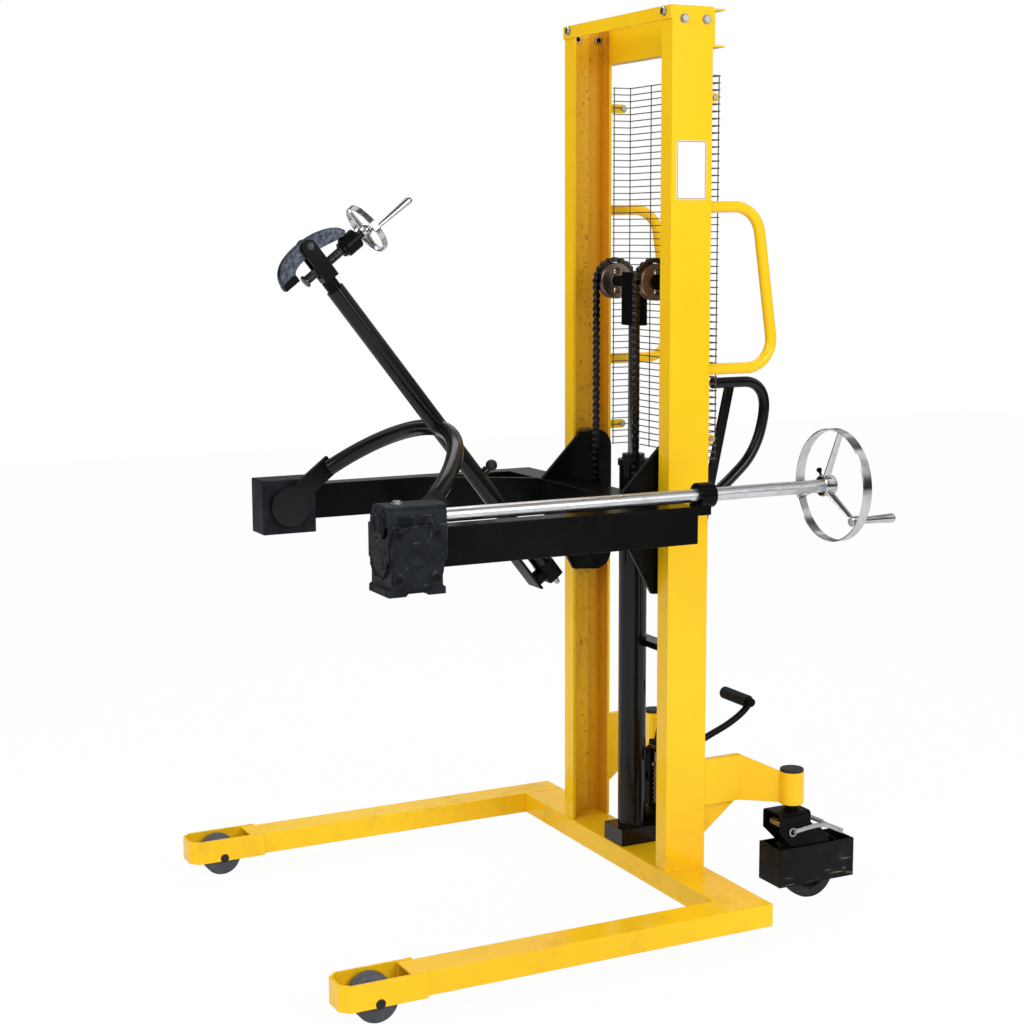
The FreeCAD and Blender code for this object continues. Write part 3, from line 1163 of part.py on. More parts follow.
def build_foot_pedal():
    hub = ring("x", "foot_hub", "stub_radius + bore_fit", ("foot_hub_start", "foot_hub_end"),
               "pedal_hub_y", "pedal_hub_z")
    x = size("foot_arm_x")
    start = Vector(x, size("pedal_hub_y"), size("pedal_hub_z"))
    knee = Vector(x, size("foot_knee_y"), size("foot_knee_z"))
    away = (knee - start).normalize() * (size("stub_radius") + size("bore_fit") + size("foot_hub") * 0.2)
    path = rounded_path([start + away, knee, Vector(x, size("foot_mid_y"), size("foot_mid_z")),
                         Vector(x, size("foot_end_y"), size("foot_end_z"))],
                        [size("foot_bend"), size("foot_bend") / 2])
    arm = freeform(swept(path, size("foot_arm_radius")))
    grip = rod("x", "foot_grip", ("foot_grip_end", "foot_hub_end"), "foot_end_y", "foot_end_z")
    bore = rod("x", "stub_radius + bore_fit", ("foot_hub_start - cut_over", "foot_hub_end + cut_over"),
               "pedal_hub_y", "pedal_hub_z")
    node("foot_pedal", cut(fuse(hub, arm), bore), grip)


build_pump()
build_tiller()
build_foot_pedal()

# Every object and every node's shape is checked before any file is written

doc.recompute()
faults = [entry.Name for entry in doc.Objects if {"Invalid", "Error"} & set(entry.State)]
faults += [entry.Label for entry in nodes if entry.Shape.isNull() or not entry.Shape.isValid()]
if faults:
    raise RuntimeError("failed: " + ", ".join(faults))
os.makedirs("parts", exist_ok=True)
for entry in nodes:
    entry.Shape.exportStep(f"parts/{entry.Label}.step")
print("nodes", len(nodes))
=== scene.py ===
# %% [markdown]
# A hand-pumped tipper for a round load: a yellow straddle base and mast, a chain-lifted black
# carriage, a tilting holder driven through a worm box, and a bright hand shaft and wheel.
# The construction arrives as a fixed frame. This script gives each piece its finish, and makes
# the pieces whose shape needs more than the frame holds: chains, mesh, wheels, threads, bolts.

# %% Load the frame
import json
import math

import bmesh
import bpy
import numpy as np
from mathutils import Matrix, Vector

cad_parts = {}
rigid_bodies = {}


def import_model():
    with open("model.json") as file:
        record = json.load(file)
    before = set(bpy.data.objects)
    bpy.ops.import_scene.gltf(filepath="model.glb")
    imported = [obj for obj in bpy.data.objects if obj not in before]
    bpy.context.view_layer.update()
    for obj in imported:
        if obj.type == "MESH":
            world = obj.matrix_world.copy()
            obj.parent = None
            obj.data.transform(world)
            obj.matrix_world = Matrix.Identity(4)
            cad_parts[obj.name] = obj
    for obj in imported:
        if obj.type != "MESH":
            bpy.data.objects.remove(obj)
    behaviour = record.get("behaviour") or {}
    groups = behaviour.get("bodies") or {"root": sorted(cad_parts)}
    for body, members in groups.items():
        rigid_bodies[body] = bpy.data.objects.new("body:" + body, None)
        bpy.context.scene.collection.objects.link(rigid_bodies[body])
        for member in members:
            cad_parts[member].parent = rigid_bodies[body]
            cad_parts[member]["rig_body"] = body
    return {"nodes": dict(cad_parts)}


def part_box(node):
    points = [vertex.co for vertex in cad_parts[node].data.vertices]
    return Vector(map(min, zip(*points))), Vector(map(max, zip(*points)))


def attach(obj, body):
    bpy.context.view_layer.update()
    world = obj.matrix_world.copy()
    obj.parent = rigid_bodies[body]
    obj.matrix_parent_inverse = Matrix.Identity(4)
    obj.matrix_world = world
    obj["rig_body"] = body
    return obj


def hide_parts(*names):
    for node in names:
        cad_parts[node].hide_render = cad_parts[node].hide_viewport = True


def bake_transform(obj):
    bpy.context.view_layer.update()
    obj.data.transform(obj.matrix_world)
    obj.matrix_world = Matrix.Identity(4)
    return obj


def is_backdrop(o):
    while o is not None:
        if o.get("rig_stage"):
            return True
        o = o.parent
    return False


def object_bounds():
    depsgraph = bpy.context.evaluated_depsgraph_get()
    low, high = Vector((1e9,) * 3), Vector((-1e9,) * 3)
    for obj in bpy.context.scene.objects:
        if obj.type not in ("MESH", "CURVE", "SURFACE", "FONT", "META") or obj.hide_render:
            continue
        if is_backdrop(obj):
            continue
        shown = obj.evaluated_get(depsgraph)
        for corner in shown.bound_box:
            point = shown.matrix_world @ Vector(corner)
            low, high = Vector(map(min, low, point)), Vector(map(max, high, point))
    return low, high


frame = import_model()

cad_low, cad_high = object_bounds()
MM = 0.001
print("frame", [round(v, 3) for v in (*cad_low, *cad_high)])

# %% [markdown]
# The camera stands where the photographer stood: in front of the machine, to its left side,
# at about chest height and turned a little down. It comes first because the finish of every
# piece is judged through it.

# %% Camera
CAMERA_PLACE = (3.6771, -1.8912, 1.5048)
CAMERA_YAW = 63.30
CAMERA_DIP = 8.40
CAMERA_ROLL = -0.24
CAMERA_LENS = 65.365


def set_camera():
    """Columns of the turn: right, up and back, from yaw about Z, dip below level, then roll."""
    yaw, dip, roll = (math.radians(v) for v in (CAMERA_YAW, CAMERA_DIP, CAMERA_ROLL))
    ahead = np.array([-math.sin(yaw) * math.cos(dip), math.cos(yaw) * math.cos(dip), -math.sin(dip)])
    right = np.array([math.cos(yaw), math.sin(yaw), 0.0])
    up = np.cross(right, ahead)
    turned_right = right * math.cos(roll) + up * math.sin(roll)
    turned_up = up * math.cos(roll) - right * math.sin(roll)
    data = bpy.data.cameras.new("photo_camera")
    data.lens = CAMERA_LENS
    data.sensor_width = 36
    data.clip_end = 60
    camera = bpy.data.objects.new("photo_camera", data)
    bpy.context.scene.collection.objects.link(camera)
    columns = np.column_stack([turned_right, turned_up, -ahead])
    camera.matrix_world = Matrix.Translation(CAMERA_PLACE) @ Matrix(columns.tolist()).to_4x4()
    bpy.context.scene.camera = camera


set_camera()
print("camera", CAMERA_PLACE, CAMERA_LENS)

# %% [markdown]
# Light and finishes are small networks of shader nodes. A few short functions keep each network
# readable: they wire two sockets, split a position, and make a noise, a sum, a product and a
# mapping of a value from one range to another.

# %% Node helpers
def join(tree, start, end):
    """Wire an output socket to an input socket."""
    tree.links.new(start, end)


def split(tree, vector):
    """The X, Y and Z sockets of a vector socket."""
    node = tree.nodes.new("ShaderNodeSeparateXYZ")
    join(tree, vector, node.inputs[0])
    return node.outputs["X"], node.outputs["Y"], node.outputs["Z"]


def noise(tree, vector, scale, detail=3.0, rough=0.55):
    """Noise texture; scale is a number or a socket."""
    node = tree.nodes.new("ShaderNodeTexNoise")
    node.inputs["Detail"].default_value = detail
    node.inputs["Roughness"].default_value = rough
    if isinstance(scale, (int, float)):
        node.inputs["Scale"].default_value = scale
    else:
        join(tree, scale, node.inputs["Scale"])
    join(tree, vector, node.inputs["Vector"])
    return node.outputs["Fac"]


def drawn_noise(tree, vector, stretch, detail, rough):
    """Noise drawn out by a Mapping node: it is fine along an axis with a large number."""
    mapping = tree.nodes.new("ShaderNodeMapping")
    mapping.inputs["Scale"].default_value = stretch
    join(tree, vector, mapping.inputs["Vector"])
    return noise(tree, mapping.outputs["Vector"], 1.0, detail, rough)


def sums(tree, operation, first, second, clamp=False):
    """Math node; each term is a number or a socket."""
    node = tree.nodes.new("ShaderNodeMath")
    node.operation = operation
    node.use_clamp = clamp
    for index, term in enumerate((first, second)):
        if isinstance(term, (int, float)):
            node.inputs[index].default_value = term
        else:
            join(tree, term, node.inputs[index])
    return node.outputs[0]


def times(tree, first, second):
    """Product of two terms; each is a number or a socket."""
    return sums(tree, "MULTIPLY", first, second)


def ramp(tree, value, low, high, start=0.0, end=1.0):
    """Map a value from low..high onto start..end, held at both ends."""
    node = tree.nodes.new("ShaderNodeMapRange")
    for label, number in (("From Min", low), ("From Max", high), ("To Min", start), ("To Max", end)):
        node.inputs[label].default_value = number
    join(tree, value, node.inputs["Value"])
    return node.outputs["Result"]


print("node helpers ready")

# %% [markdown]
# The studio is plain: a pale floor, a white surround, and large soft lamps. The world gives
# most of the light, so a colour renders about as it is written. The surround is a shade darker
# low down for reflections, and has dark gaps as between a studio's panels, which gives chrome
# and gloss paint something to mirror.

# %% Studio
WORLD_LIGHT = 0.62
WORLD_WHITE = 1.0
REFLECTED_LOW = 0.22
REFLECTED_GAP = 0.12
FLOOR_HALF = 9.0
FLOOR_SHADE = 0.86
FLOOR_GLOW = 0.97
LAMP_AIM = (0, 0, 0.9)
KEY_LAMP = {"place": (1.6, -3.6, 3.6), "size": 2.2, "power": 70}
SIDE_LAMP = {"place": (4.6, 1.2, 2.6), "size": 2.4, "power": 100}
TOP_LAMP = {"place": (-1.5, 0.8, 4.2), "size": 2.5, "power": 52}


def seen_directly(tree):
    """One where the eye sees the surface itself, also through glass, and nothing for other rays."""
    path = tree.nodes.new("ShaderNodeLightPath")
    return sums(tree, "MAXIMUM", path.outputs["Is Camera Ray"], path.outputs["Is Transmission Ray"])


def set_world():
    """Lights everything by WORLD_LIGHT, shows mirrors a shaded surround, and the eye plain white."""
    world = bpy.data.worlds.new("studio")
    world.use_nodes = True
    tree = world.node_tree
    around = tree.nodes.new("ShaderNodeTexCoord").outputs["Generated"]
    height = split(tree, around)[2]
    rise = ramp(tree, height, 0.02, 0.60, REFLECTED_LOW, WORLD_WHITE)
    gaps = ramp(tree, noise(tree, around, 1.7, 1.0, 0.5), 0.44, 0.54, REFLECTED_GAP, 1.0)
    mirror = tree.nodes.new("ShaderNodeMix")
    mirror.inputs["A"].default_value = WORLD_LIGHT
    path = tree.nodes.new("ShaderNodeLightPath")
    join(tree, path.outputs["Is Glossy Ray"], mirror.inputs["Factor"])
    join(tree, times(tree, rise, gaps), mirror.inputs["B"])
    final = tree.nodes.new("ShaderNodeMix")
    final.inputs["B"].default_value = WORLD_WHITE
    join(tree, seen_directly(tree), final.inputs["Factor"])
    join(tree, mirror.outputs["Result"], final.inputs["A"])
    background = tree.nodes["Background"]
    background.inputs["Color"].default_value = (1, 1, 1, 1)
    join(tree, final.outputs["Result"], background.inputs["Strength"])
    bpy.context.scene.world = world


def add_lamp(name, place, size, power):
    """Square soft lamp that faces the middle of the mast."""
    data = bpy.data.lights.new(name, "AREA")
    data.size = size
    data.energy = power
    lamp = bpy.data.objects.new(name, data)
    bpy.context.scene.collection.objects.link(lamp)
    aim = np.array(LAMP_AIM) - np.array(place)
    aim = aim / np.linalg.norm(aim)
    side = np.cross(aim, [0, 0, 1])
    side = side / np.linalg.norm(side)
    columns = np.column_stack([side, np.cross(side, aim), -aim])
    lamp.matrix_world = Matrix.Translation(place) @ Matrix(columns.tolist()).to_4x4()


def add_floor():
    """Pale matt floor. The eye sees a share FLOOR_GLOW of plain white mixed over its own shading."""
    half = FLOOR_HALF
    mesh = bpy.data.meshes.new("floor")
    mesh.from_pydata([(-half, -half, 0), (half, -half, 0), (half, half, 0), (-half, half, 0)],
                     [], [(0, 1, 2, 3)])
    floor = bpy.data.objects.new("floor", mesh)
    bpy.context.scene.collection.objects.link(floor)
    material = bpy.data.materials.new("pale_floor")
    material.use_nodes = True
    tree = material.node_tree
    shader = tree.nodes["Principled BSDF"]
    shader.inputs["Base Color"].default_value = (FLOOR_SHADE, FLOOR_SHADE, FLOOR_SHADE, 1)
    shader.inputs["Roughness"].default_value = 0.9
    glow = tree.nodes.new("ShaderNodeEmission")
    glow.inputs["Color"].default_value = (1, 1, 1, 1)
    glow.inputs["Strength"].default_value = 1.0
    both = tree.nodes.new("ShaderNodeMixShader")
    join(tree, times(tree, seen_directly(tree), FLOOR_GLOW), both.inputs[0])
    join(tree, shader.outputs[0], both.inputs[1])
    join(tree, glow.outputs[0], both.inputs[2])
    join(tree, both.outputs[0], tree.nodes["Material Output"].inputs["Surface"])
    mesh.materials.append(material)
    floor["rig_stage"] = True


set_world()
add_lamp("key_lamp", **KEY_LAMP)
add_lamp("side_lamp", **SIDE_LAMP)
add_lamp("top_lamp", **TOP_LAMP)
add_floor()
bpy.context.scene.view_settings.view_transform = "Standard"
print("studio", [thing.name for thing in bpy.data.lights])

# %% [markdown]
# Effects that several finishes share are node groups. The first softens edges: it compares the
# true surface with one whose corners are rounded, which gives a normal for the highlight that
# every real edge has, and a mask of where paint wears. The second is the slow unevenness and
# orange peel of sprayed enamel. The third is dirt, which gathers near the floor and in blots.

# %% Shared node groups
def new_group(name, inputs, outputs):
    """Empty shader group with float or vector sockets, given as {name: default}."""
    group = bpy.data.node_groups.new(name, "ShaderNodeTree")
    for label, start in inputs.items():
        kind = "NodeSocketVector" if start is None else "NodeSocketFloat"
        socket = group.interface.new_socket(label, in_out="INPUT", socket_type=kind)
        if start is not None:
            socket.default_value = start
    for label, kind in outputs.items():
        group.interface.new_socket(label, in_out="OUTPUT", socket_type=kind)
    return group, group.nodes.new("NodeGroupInput"), group.nodes.new("NodeGroupOutput")


def edge_group():
    """Rounded-corner normal and a wear mask: one less the cosine between it and the flat normal."""
    group, source, sink = new_group(
        "edge_softening", {"Vector": None, "Radius": 1.2 * MM, "Patches": 45.0},
        {"Normal": "NodeSocketVector", "Wear": "NodeSocketFloat"})
    bevel = group.nodes.new("ShaderNodeBevel")
    bevel.samples = 4
    join(group, source.outputs["Radius"], bevel.inputs["Radius"])
    flat = group.nodes.new("ShaderNodeNewGeometry")
    dot = group.nodes.new("ShaderNodeVectorMath")
    dot.operation = "DOT_PRODUCT"
    join(group, bevel.outputs["Normal"], dot.inputs[0])
    join(group, flat.outputs["Normal"], dot.inputs[1])
    bend = sums(group, "SUBTRACT", 1.0, dot.outputs["Value"])
    edge = ramp(group, bend, 0.02, 0.12)
    patches = ramp(group, noise(group, source.outputs["Vector"], source.outputs["Patches"], 4.0), 0.50, 0.66)
    join(group, times(group, edge, patches), sink.inputs["Wear"])
    join(group, bevel.outputs["Normal"], sink.inputs["Normal"])
    return group


def enamel_group():
    """Broad cloudiness, plus the fine ripple that a spray gun leaves."""
    group, source, sink = new_group(
        "sprayed_enamel", {"Vector": None, "Cloud Scale": 3.0, "Ripple Scale": 420.0},
        {"Cloud": "NodeSocketFloat", "Ripple": "NodeSocketFloat"})
    join(group, noise(group, source.outputs["Vector"], source.outputs["Cloud Scale"]), sink.inputs["Cloud"])
    join(group, noise(group, source.outputs["Vector"], source.outputs["Ripple Scale"], 2.0),
         sink.inputs["Ripple"])
    return group


def dirt_group():
    """Blots of noise, made stronger towards the floor."""
    group, source, sink = new_group(
        "workshop_dirt", {"Vector": None, "Reach": 0.30, "Blot Scale": 14.0}, {"Dirt": "NodeSocketFloat"})
    height = split(group, source.outputs["Vector"])[2]
    low = sums(group, "DIVIDE", height, source.outputs["Reach"], clamp=True)
    near_floor = ramp(group, low, 0.0, 1.0, 1.0, 0.18)
    blots = ramp(group, noise(group, source.outputs["Vector"], source.outputs["Blot Scale"], 6.0, 0.7),
                 0.52, 0.80)
    join(group, times(group, near_floor, blots), sink.inputs["Dirt"])
    return group


EDGES = edge_group()
ENAMEL = enamel_group()
DIRT = dirt_group()


def place_group(tree, group, vector, **values):
    """Put a shared group into a material with its own values."""
    node = tree.nodes.new("ShaderNodeGroup")
    node.node_tree = group
    join(tree, vector, node.inputs["Vector"])
    for label, number in values.items():
        node.inputs[label.replace("_", " ")].default_value = number
    return node


def tint(tree, factor, under, over):
    """Mix two colours by a mask; each colour is a tuple or a socket."""
    node = tree.nodes.new("ShaderNodeMix")
    node.data_type = "RGBA"
    join(tree, factor, node.inputs["Factor"])
    for label, colour in (("A", under), ("B", over)):
        socket = [entry for entry in node.inputs if entry.name == label and entry.type == "RGBA"][0]
        if isinstance(colour, tuple):
            socket.default_value = (*colour, 1)
        else:
            join(tree, colour, socket)
    return [entry for entry in node.outputs if entry.type == "RGBA"][0]


print("groups", [group.name for group in (EDGES, ENAMEL, DIRT)])

# %% [markdown]
# The yellow parts are thick glossy enamel over steel. A flat yellow would look like plastic, so
# the colour drifts a little, the surface ripples faintly, dirt sits low down, and sharp edges
# show a darker worn line. The mast channels also carry rust-brown scuffs inside, where the
# carriage's rollers run, and an ochre stain that painted shade deepens in their rear half, and
# the leg tips a black axle end, so these two finishes are variants with one more layer. Black
# enamel is made the same way, with pale scuffs on the wheel guards.

# %% Enamel finishes
YELLOW = (0.97, 0.600, 0.010)
YELLOW_DEEP = (0.90, 0.480, 0.006)
YELLOW_DIRT = (0.30, 0.17, 0.03)
RUST = (0.20, 0.040, 0.010)
TRACK_STAIN_AND_SHADE = (0.62, 0.25, 0.010)
TRACK_MARK = (0.060, 0.016, 0.006)
TRACK_HALF = 0.2328
TRACK_LOW_Y = 0.2285
TRACK_HIGH_Y = 0.3155
ROLLER_AXLE = (-0.591, 0.045)
AXLE_BLACK = (0.012, 0.012, 0.013)


def start_material(name):
    """Fresh material; gives its tree, its shader and the object position."""
    material = bpy.data.materials.new(name)
    material.use_nodes = True
    tree = material.node_tree
    place = tree.nodes.new("ShaderNodeTexCoord")
    return material, tree, tree.nodes["Principled BSDF"], place.outputs["Object"]


def add_bump(tree, shader, height, strength, distance, normal=None):
    """Feed a height into the shader's normal, over another normal if one is given."""
    bump = tree.nodes.new("ShaderNodeBump")
    bump.inputs["Strength"].default_value = strength
    bump.inputs["Distance"].default_value = distance
    join(tree, height, bump.inputs["Height"])
    if normal is not None:
        join(tree, normal, bump.inputs["Normal"])
    join(tree, bump.outputs["Normal"], shader.inputs["Normal"])


def within(tree, value, low, high, soft):
    """Mask that is one between two values and falls to nothing over a soft margin."""
    return times(tree, ramp(tree, value, low - soft, low), ramp(tree, value, high, high + soft, 1.0, 0.0))


def track_marks(tree, place, colour, rough):
    """Wear inside the mast's channels: an ochre stain that painted shade deepens in the rear half,
    rust lines and speckle, and dark blots that come in spells, strongest along the line where the rollers
    run."""
    x, y = split(tree, place)[:2]
    inside = ramp(tree, sums(tree, "ABSOLUTE", x, 0.0), TRACK_HALF + 0.4 * MM, TRACK_HALF - 0.6 * MM)
    inside = times(tree, inside, within(tree, y, TRACK_LOW_Y - 1 * MM, TRACK_HIGH_Y + 1 * MM, 1 * MM))
    run = within(tree, y, 0.262, 0.284, 7 * MM)
    # Ochre stain inside the channels: light in the front half, and strong in the rear half as painted shade.
    stain = times(tree, inside, ramp(tree, y, 0.279, 0.283, 0.26, 0.88))
    colour = tint(tree, stain, colour, TRACK_STAIN_AND_SHADE)
    lines = ramp(tree, drawn_noise(tree, place, (60, 60, 2.4), 5.0, 0.6), 0.56, 0.66)
    speckle = ramp(tree, noise(tree, place, 78.0, 5.0, 0.7), 0.585, 0.645)
    speckle = times(tree, speckle, ramp(tree, run, 0, 1, 0.30, 1.0))
    scuff = sums(tree, "ADD", times(tree, lines, 0.22), speckle, clamp=True)
    colour = tint(tree, times(tree, scuff, inside), colour, RUST)
    blots = ramp(tree, drawn_noise(tree, place, (62, 62, 21), 5.0, 0.72), 0.610, 0.640)
    spells = ramp(tree, noise(tree, place, 4.2, 1.0), 0.44, 0.54)
    blots = times(tree, times(tree, blots, spells), ramp(tree, run, 0, 1, 0.35, 0.9))
    colour = tint(tree, times(tree, blots, inside), colour, TRACK_MARK)
    return colour, sums(tree, "ADD", rough, times(tree, inside, 0.25))


def axle_end(tree, place, colour, axle):
    """Black disc where the axle's end shows: its mask is the squared distance from (y, z)."""
    y, z = split(tree, place)[1:]
    off_y, off_z = sums(tree, "SUBTRACT", y, axle[0]), sums(tree, "SUBTRACT", z, axle[1])
    square = sums(tree, "ADD", times(tree, off_y, off_y), times(tree, off_z, off_z))
    return tint(tree, ramp(tree, square, (10.7 * MM) ** 2, (9.9 * MM) ** 2), colour, AXLE_BLACK)


def make_yellow(name, tracks=False, axle=None):
    """Yellow enamel: a cloudy colour, dirt low down and rust at worn edges."""
    material, tree, shader, place = start_material(name)
    edges = place_group(tree, EDGES, place, Radius=1.6 * MM, Patches=30.0)
    enamel = place_group(tree, ENAMEL, place, Cloud_Scale=2.6, Ripple_Scale=260.0)
    dirt = place_group(tree, DIRT, place, Reach=0.34, Blot_Scale=16.0).outputs["Dirt"]
    cloud = ramp(tree, enamel.outputs["Cloud"], 0.34, 0.68)
    colour = tint(tree, times(tree, cloud, 0.55), YELLOW, YELLOW_DEEP)
    colour = tint(tree, times(tree, dirt, 0.42), colour, YELLOW_DIRT)
    colour = tint(tree, times(tree, edges.outputs["Wear"], 0.75), colour, RUST)
    rough = sums(tree, "ADD", 0.20, times(tree, dirt, 0.35))
    if tracks:
        colour, rough = track_marks(tree, place, colour, rough)
    if axle:
        colour = axle_end(tree, place, colour, axle)
    join(tree, colour, shader.inputs["Base Color"])
    join(tree, rough, shader.inputs["Roughness"])
    shader.inputs["Specular IOR Level"].default_value = 0.22
    shader.inputs["Coat Weight"].default_value = 0.10
    shader.inputs["Coat Roughness"].default_value = 0.08
    add_bump(tree, shader, enamel.outputs["Ripple"], 0.10, 0.4 * MM, edges.outputs["Normal"])
    return material


BLACK = (0.0024, 0.0026, 0.0030)
BLACK_WORN = (0.012, 0.010, 0.008)
GREY_DUST = (0.075, 0.070, 0.064)
PALE_SCUFF = (0.20, 0.21, 0.13)


def make_black(name, gloss=0.18, coat=0.05, shine=0.04, wear=0.30, scuff=0.0):
    """Black enamel: nearly black, with greyer dust and worn edges, and pale scuffs if asked."""
    material, tree, shader, place = start_material(name)
    edges = place_group(tree, EDGES, place, Radius=1.4 * MM, Patches=38.0)
    enamel = place_group(tree, ENAMEL, place, Cloud_Scale=5.0, Ripple_Scale=300.0)
    dirt = place_group(tree, DIRT, place, Reach=0.55, Blot_Scale=22.0).outputs["Dirt"]
    cloud = ramp(tree, enamel.outputs["Cloud"], 0.38, 0.70)
    colour = tint(tree, times(tree, cloud, 0.35), BLACK, BLACK_WORN)
    colour = tint(tree, times(tree, dirt, 0.28), colour, GREY_DUST)
    colour = tint(tree, times(tree, edges.outputs["Wear"], wear), colour, GREY_DUST)
    if scuff:
        lines = ramp(tree, drawn_noise(tree, place, (14, 14, 150), 4.0, 0.6), 0.60, 0.66)
        patch = ramp(tree, noise(tree, place, 11.0, 2.0), 0.50, 0.62)
        colour = tint(tree, times(tree, times(tree, lines, patch), scuff), colour, PALE_SCUFF)
    join(tree, colour, shader.inputs["Base Color"])
    rough = sums(tree, "ADD", gloss, times(tree, cloud, 0.10))
    join(tree, sums(tree, "ADD", rough, times(tree, dirt, 0.30)), shader.inputs["Roughness"])
    shader.inputs["Specular IOR Level"].default_value = shine
    shader.inputs["Coat Weight"].default_value = coat
    shader.inputs["Coat Roughness"].default_value = 0.12
    add_bump(tree, shader, enamel.outputs["Ripple"], 0.12, 0.4 * MM, edges.outputs["Normal"])
    return material


CAST_BLACK = (0.0045, 0.006, 0.009)
CAST_GREY = (0.014, 0.018, 0.023)
CAST_BARE_AND_HIGHLIGHT = (0.17, 0.18, 0.19)


def make_casting(name):
    """Sand-cast iron under thin black paint: coarse grain in the bump, satin shine, and pale worn edges
    strong enough to stand as a painted highlight.
    """
    material, tree, shader, place = start_material(name)
    edges = place_group(tree, EDGES, place, Radius=1.8 * MM, Patches=60.0)
    grain = noise(tree, place, 520.0, 4.0, 0.65)
    pits = ramp(tree, noise(tree, place, 150.0, 3.0, 0.6), 0.60, 0.72)
    height = sums(tree, "SUBTRACT", grain, times(tree, pits, 0.5))
    blot = ramp(tree, noise(tree, place, 24.0, 4.0), 0.40, 0.70)
    colour = tint(tree, blot, CAST_BLACK, CAST_GREY)
    # Pale edges: bare iron where the paint wears, made strong as a painted highlight along rims and corners.
    colour = tint(tree, times(tree, edges.outputs["Wear"], 0.9), colour, CAST_BARE_AND_HIGHLIGHT)
    join(tree, colour, shader.inputs["Base Color"])
    join(tree, ramp(tree, grain, 0.3, 0.7, 0.38, 0.56), shader.inputs["Roughness"])
    shader.inputs["Specular IOR Level"].default_value = 0.12
    add_bump(tree, shader, height, 0.35, 0.8 * MM, edges.outputs["Normal"])
    return material


yellow = make_yellow("yellow_enamel")
yellow_tips = make_yellow("yellow_enamel_tips", axle=ROLLER_AXLE)
yellow_tracks = make_yellow("yellow_enamel_tracks", tracks=True)
black = make_black("black_enamel")
gloss_black = make_black("gloss_black_tube", gloss=0.13, coat=0.25, shine=0.14, wear=0.0)
scuffed_black = make_black("scuffed_black_plate", gloss=0.26, shine=0.10, wear=0.5, scuff=0.8)
casting = make_casting("black_casting")
print("enamels made")

# %% [markdown]
# The metals: a turned steel shaft, chromed hand wheels and rod, zinc-plated fasteners, a dark
# oiled chain, brownish bare steel where parts rub, a rough forging, wire, and bronze. Metals
# show their finish through roughness, so each one has its own pattern of it: fine scratches
# round or along the part, and patches of dull film.

# %% Metal finishes
def make_metal(name, colour, dark, rough, blots, scratch, depth, tarnish, stain, edge):
    """Metal with drawn scratches, blotchy roughness and some tarnish.

    Scratches are noise stretched by a Mapping node; roughness moves about its middle value
    with a slower noise; tarnish is a mask of that noise which also takes the metal's place."""
    material, tree, shader, place = start_material(name)
    edges = place_group(tree, EDGES, place, Radius=edge * MM, Patches=80.0)
    lines = drawn_noise(tree, place, scratch, 4.0, 0.65)
    film = noise(tree, place, blots, 5.0, 0.62)
    spots = ramp(tree, noise(tree, place, blots * 3.1, 5.0, 0.7), 0.56, 0.72)
    covered = times(tree, spots, tarnish)
    body = tint(tree, times(tree, ramp(tree, film, 0.35, 0.70), 0.7), colour, dark)
    join(tree, tint(tree, covered, body, stain), shader.inputs["Base Color"])
    spread = ramp(tree, film, 0.3, 0.7, rough * 0.7, rough * 1.45)
    join(tree, sums(tree, "ADD", spread, times(tree, covered, 0.35)), shader.inputs["Roughness"])
    join(tree, ramp(tree, covered, 0.25, 0.7, 1.0, 0.35), shader.inputs["Metallic"])
    add_bump(tree, shader, lines, depth, 0.3 * MM, edges.outputs["Normal"])
    return material


chrome = make_metal(
    "chrome_plate", (0.62, 0.63, 0.65), (0.38, 0.39, 0.41), rough=0.12, blots=26.0,
    scratch=(260, 260, 260), depth=0.02, tarnish=0.18, stain=(0.25, 0.19, 0.13), edge=0.6)
shaft_steel = make_metal(
    "turned_shaft", (0.68, 0.69, 0.71), (0.44, 0.45, 0.47), rough=0.31, blots=14.0,
    scratch=(500, 18, 500), depth=0.06, tarnish=0.35, stain=(0.16, 0.12, 0.09), edge=0.8)
zinc = make_metal(
    "zinc_plate", (0.50, 0.50, 0.49), (0.30, 0.30, 0.285), rough=0.34, blots=60.0,
    scratch=(300, 300, 300), depth=0.05, tarnish=0.35, stain=(0.22, 0.18, 0.12), edge=0.7)
rod_chrome = make_metal(
    "hard_chrome_rod", (0.42, 0.45, 0.50), (0.24, 0.26, 0.30), rough=0.09, blots=12.0,
    scratch=(420, 420, 12), depth=0.02, tarnish=0.10, stain=(0.10, 0.10, 0.10), edge=0.5)
wire_steel = make_metal(
    "dark_mesh_wire", (0.16, 0.155, 0.14), (0.075, 0.070, 0.062), rough=0.40, blots=24.0,
    scratch=(220, 220, 220), depth=0.05, tarnish=0.45, stain=(0.10, 0.055, 0.030), edge=0.3)
chain_steel = make_metal(
    "oiled_chain", (0.105, 0.108, 0.112), (0.016, 0.016, 0.016), rough=0.22, blots=120.0,
    scratch=(500, 500, 200), depth=0.06, tarnish=0.40, stain=(0.035, 0.028, 0.020), edge=0.3)
worn_steel = make_metal(
    "rubbed_brown_steel", (0.30, 0.235, 0.195), (0.15, 0.105, 0.082), rough=0.36, blots=40.0,
    scratch=(200, 500, 500), depth=0.08, tarnish=0.60, stain=(0.11, 0.055, 0.030), edge=0.8)
spring_steel = make_metal(
    "spring_steel", (0.22, 0.22, 0.22), (0.11, 0.11, 0.11), rough=0.30, blots=60.0,
    scratch=(200, 200, 200), depth=0.04, tarnish=0.30, stain=(0.06, 0.05, 0.04), edge=0.3)
forging = make_metal(
    "rough_forging", (0.085, 0.098, 0.125), (0.020, 0.022, 0.028), rough=0.42, blots=95.0,
    scratch=(240, 240, 240), depth=0.30, tarnish=0.55, stain=(0.020, 0.020, 0.023), edge=1.6)
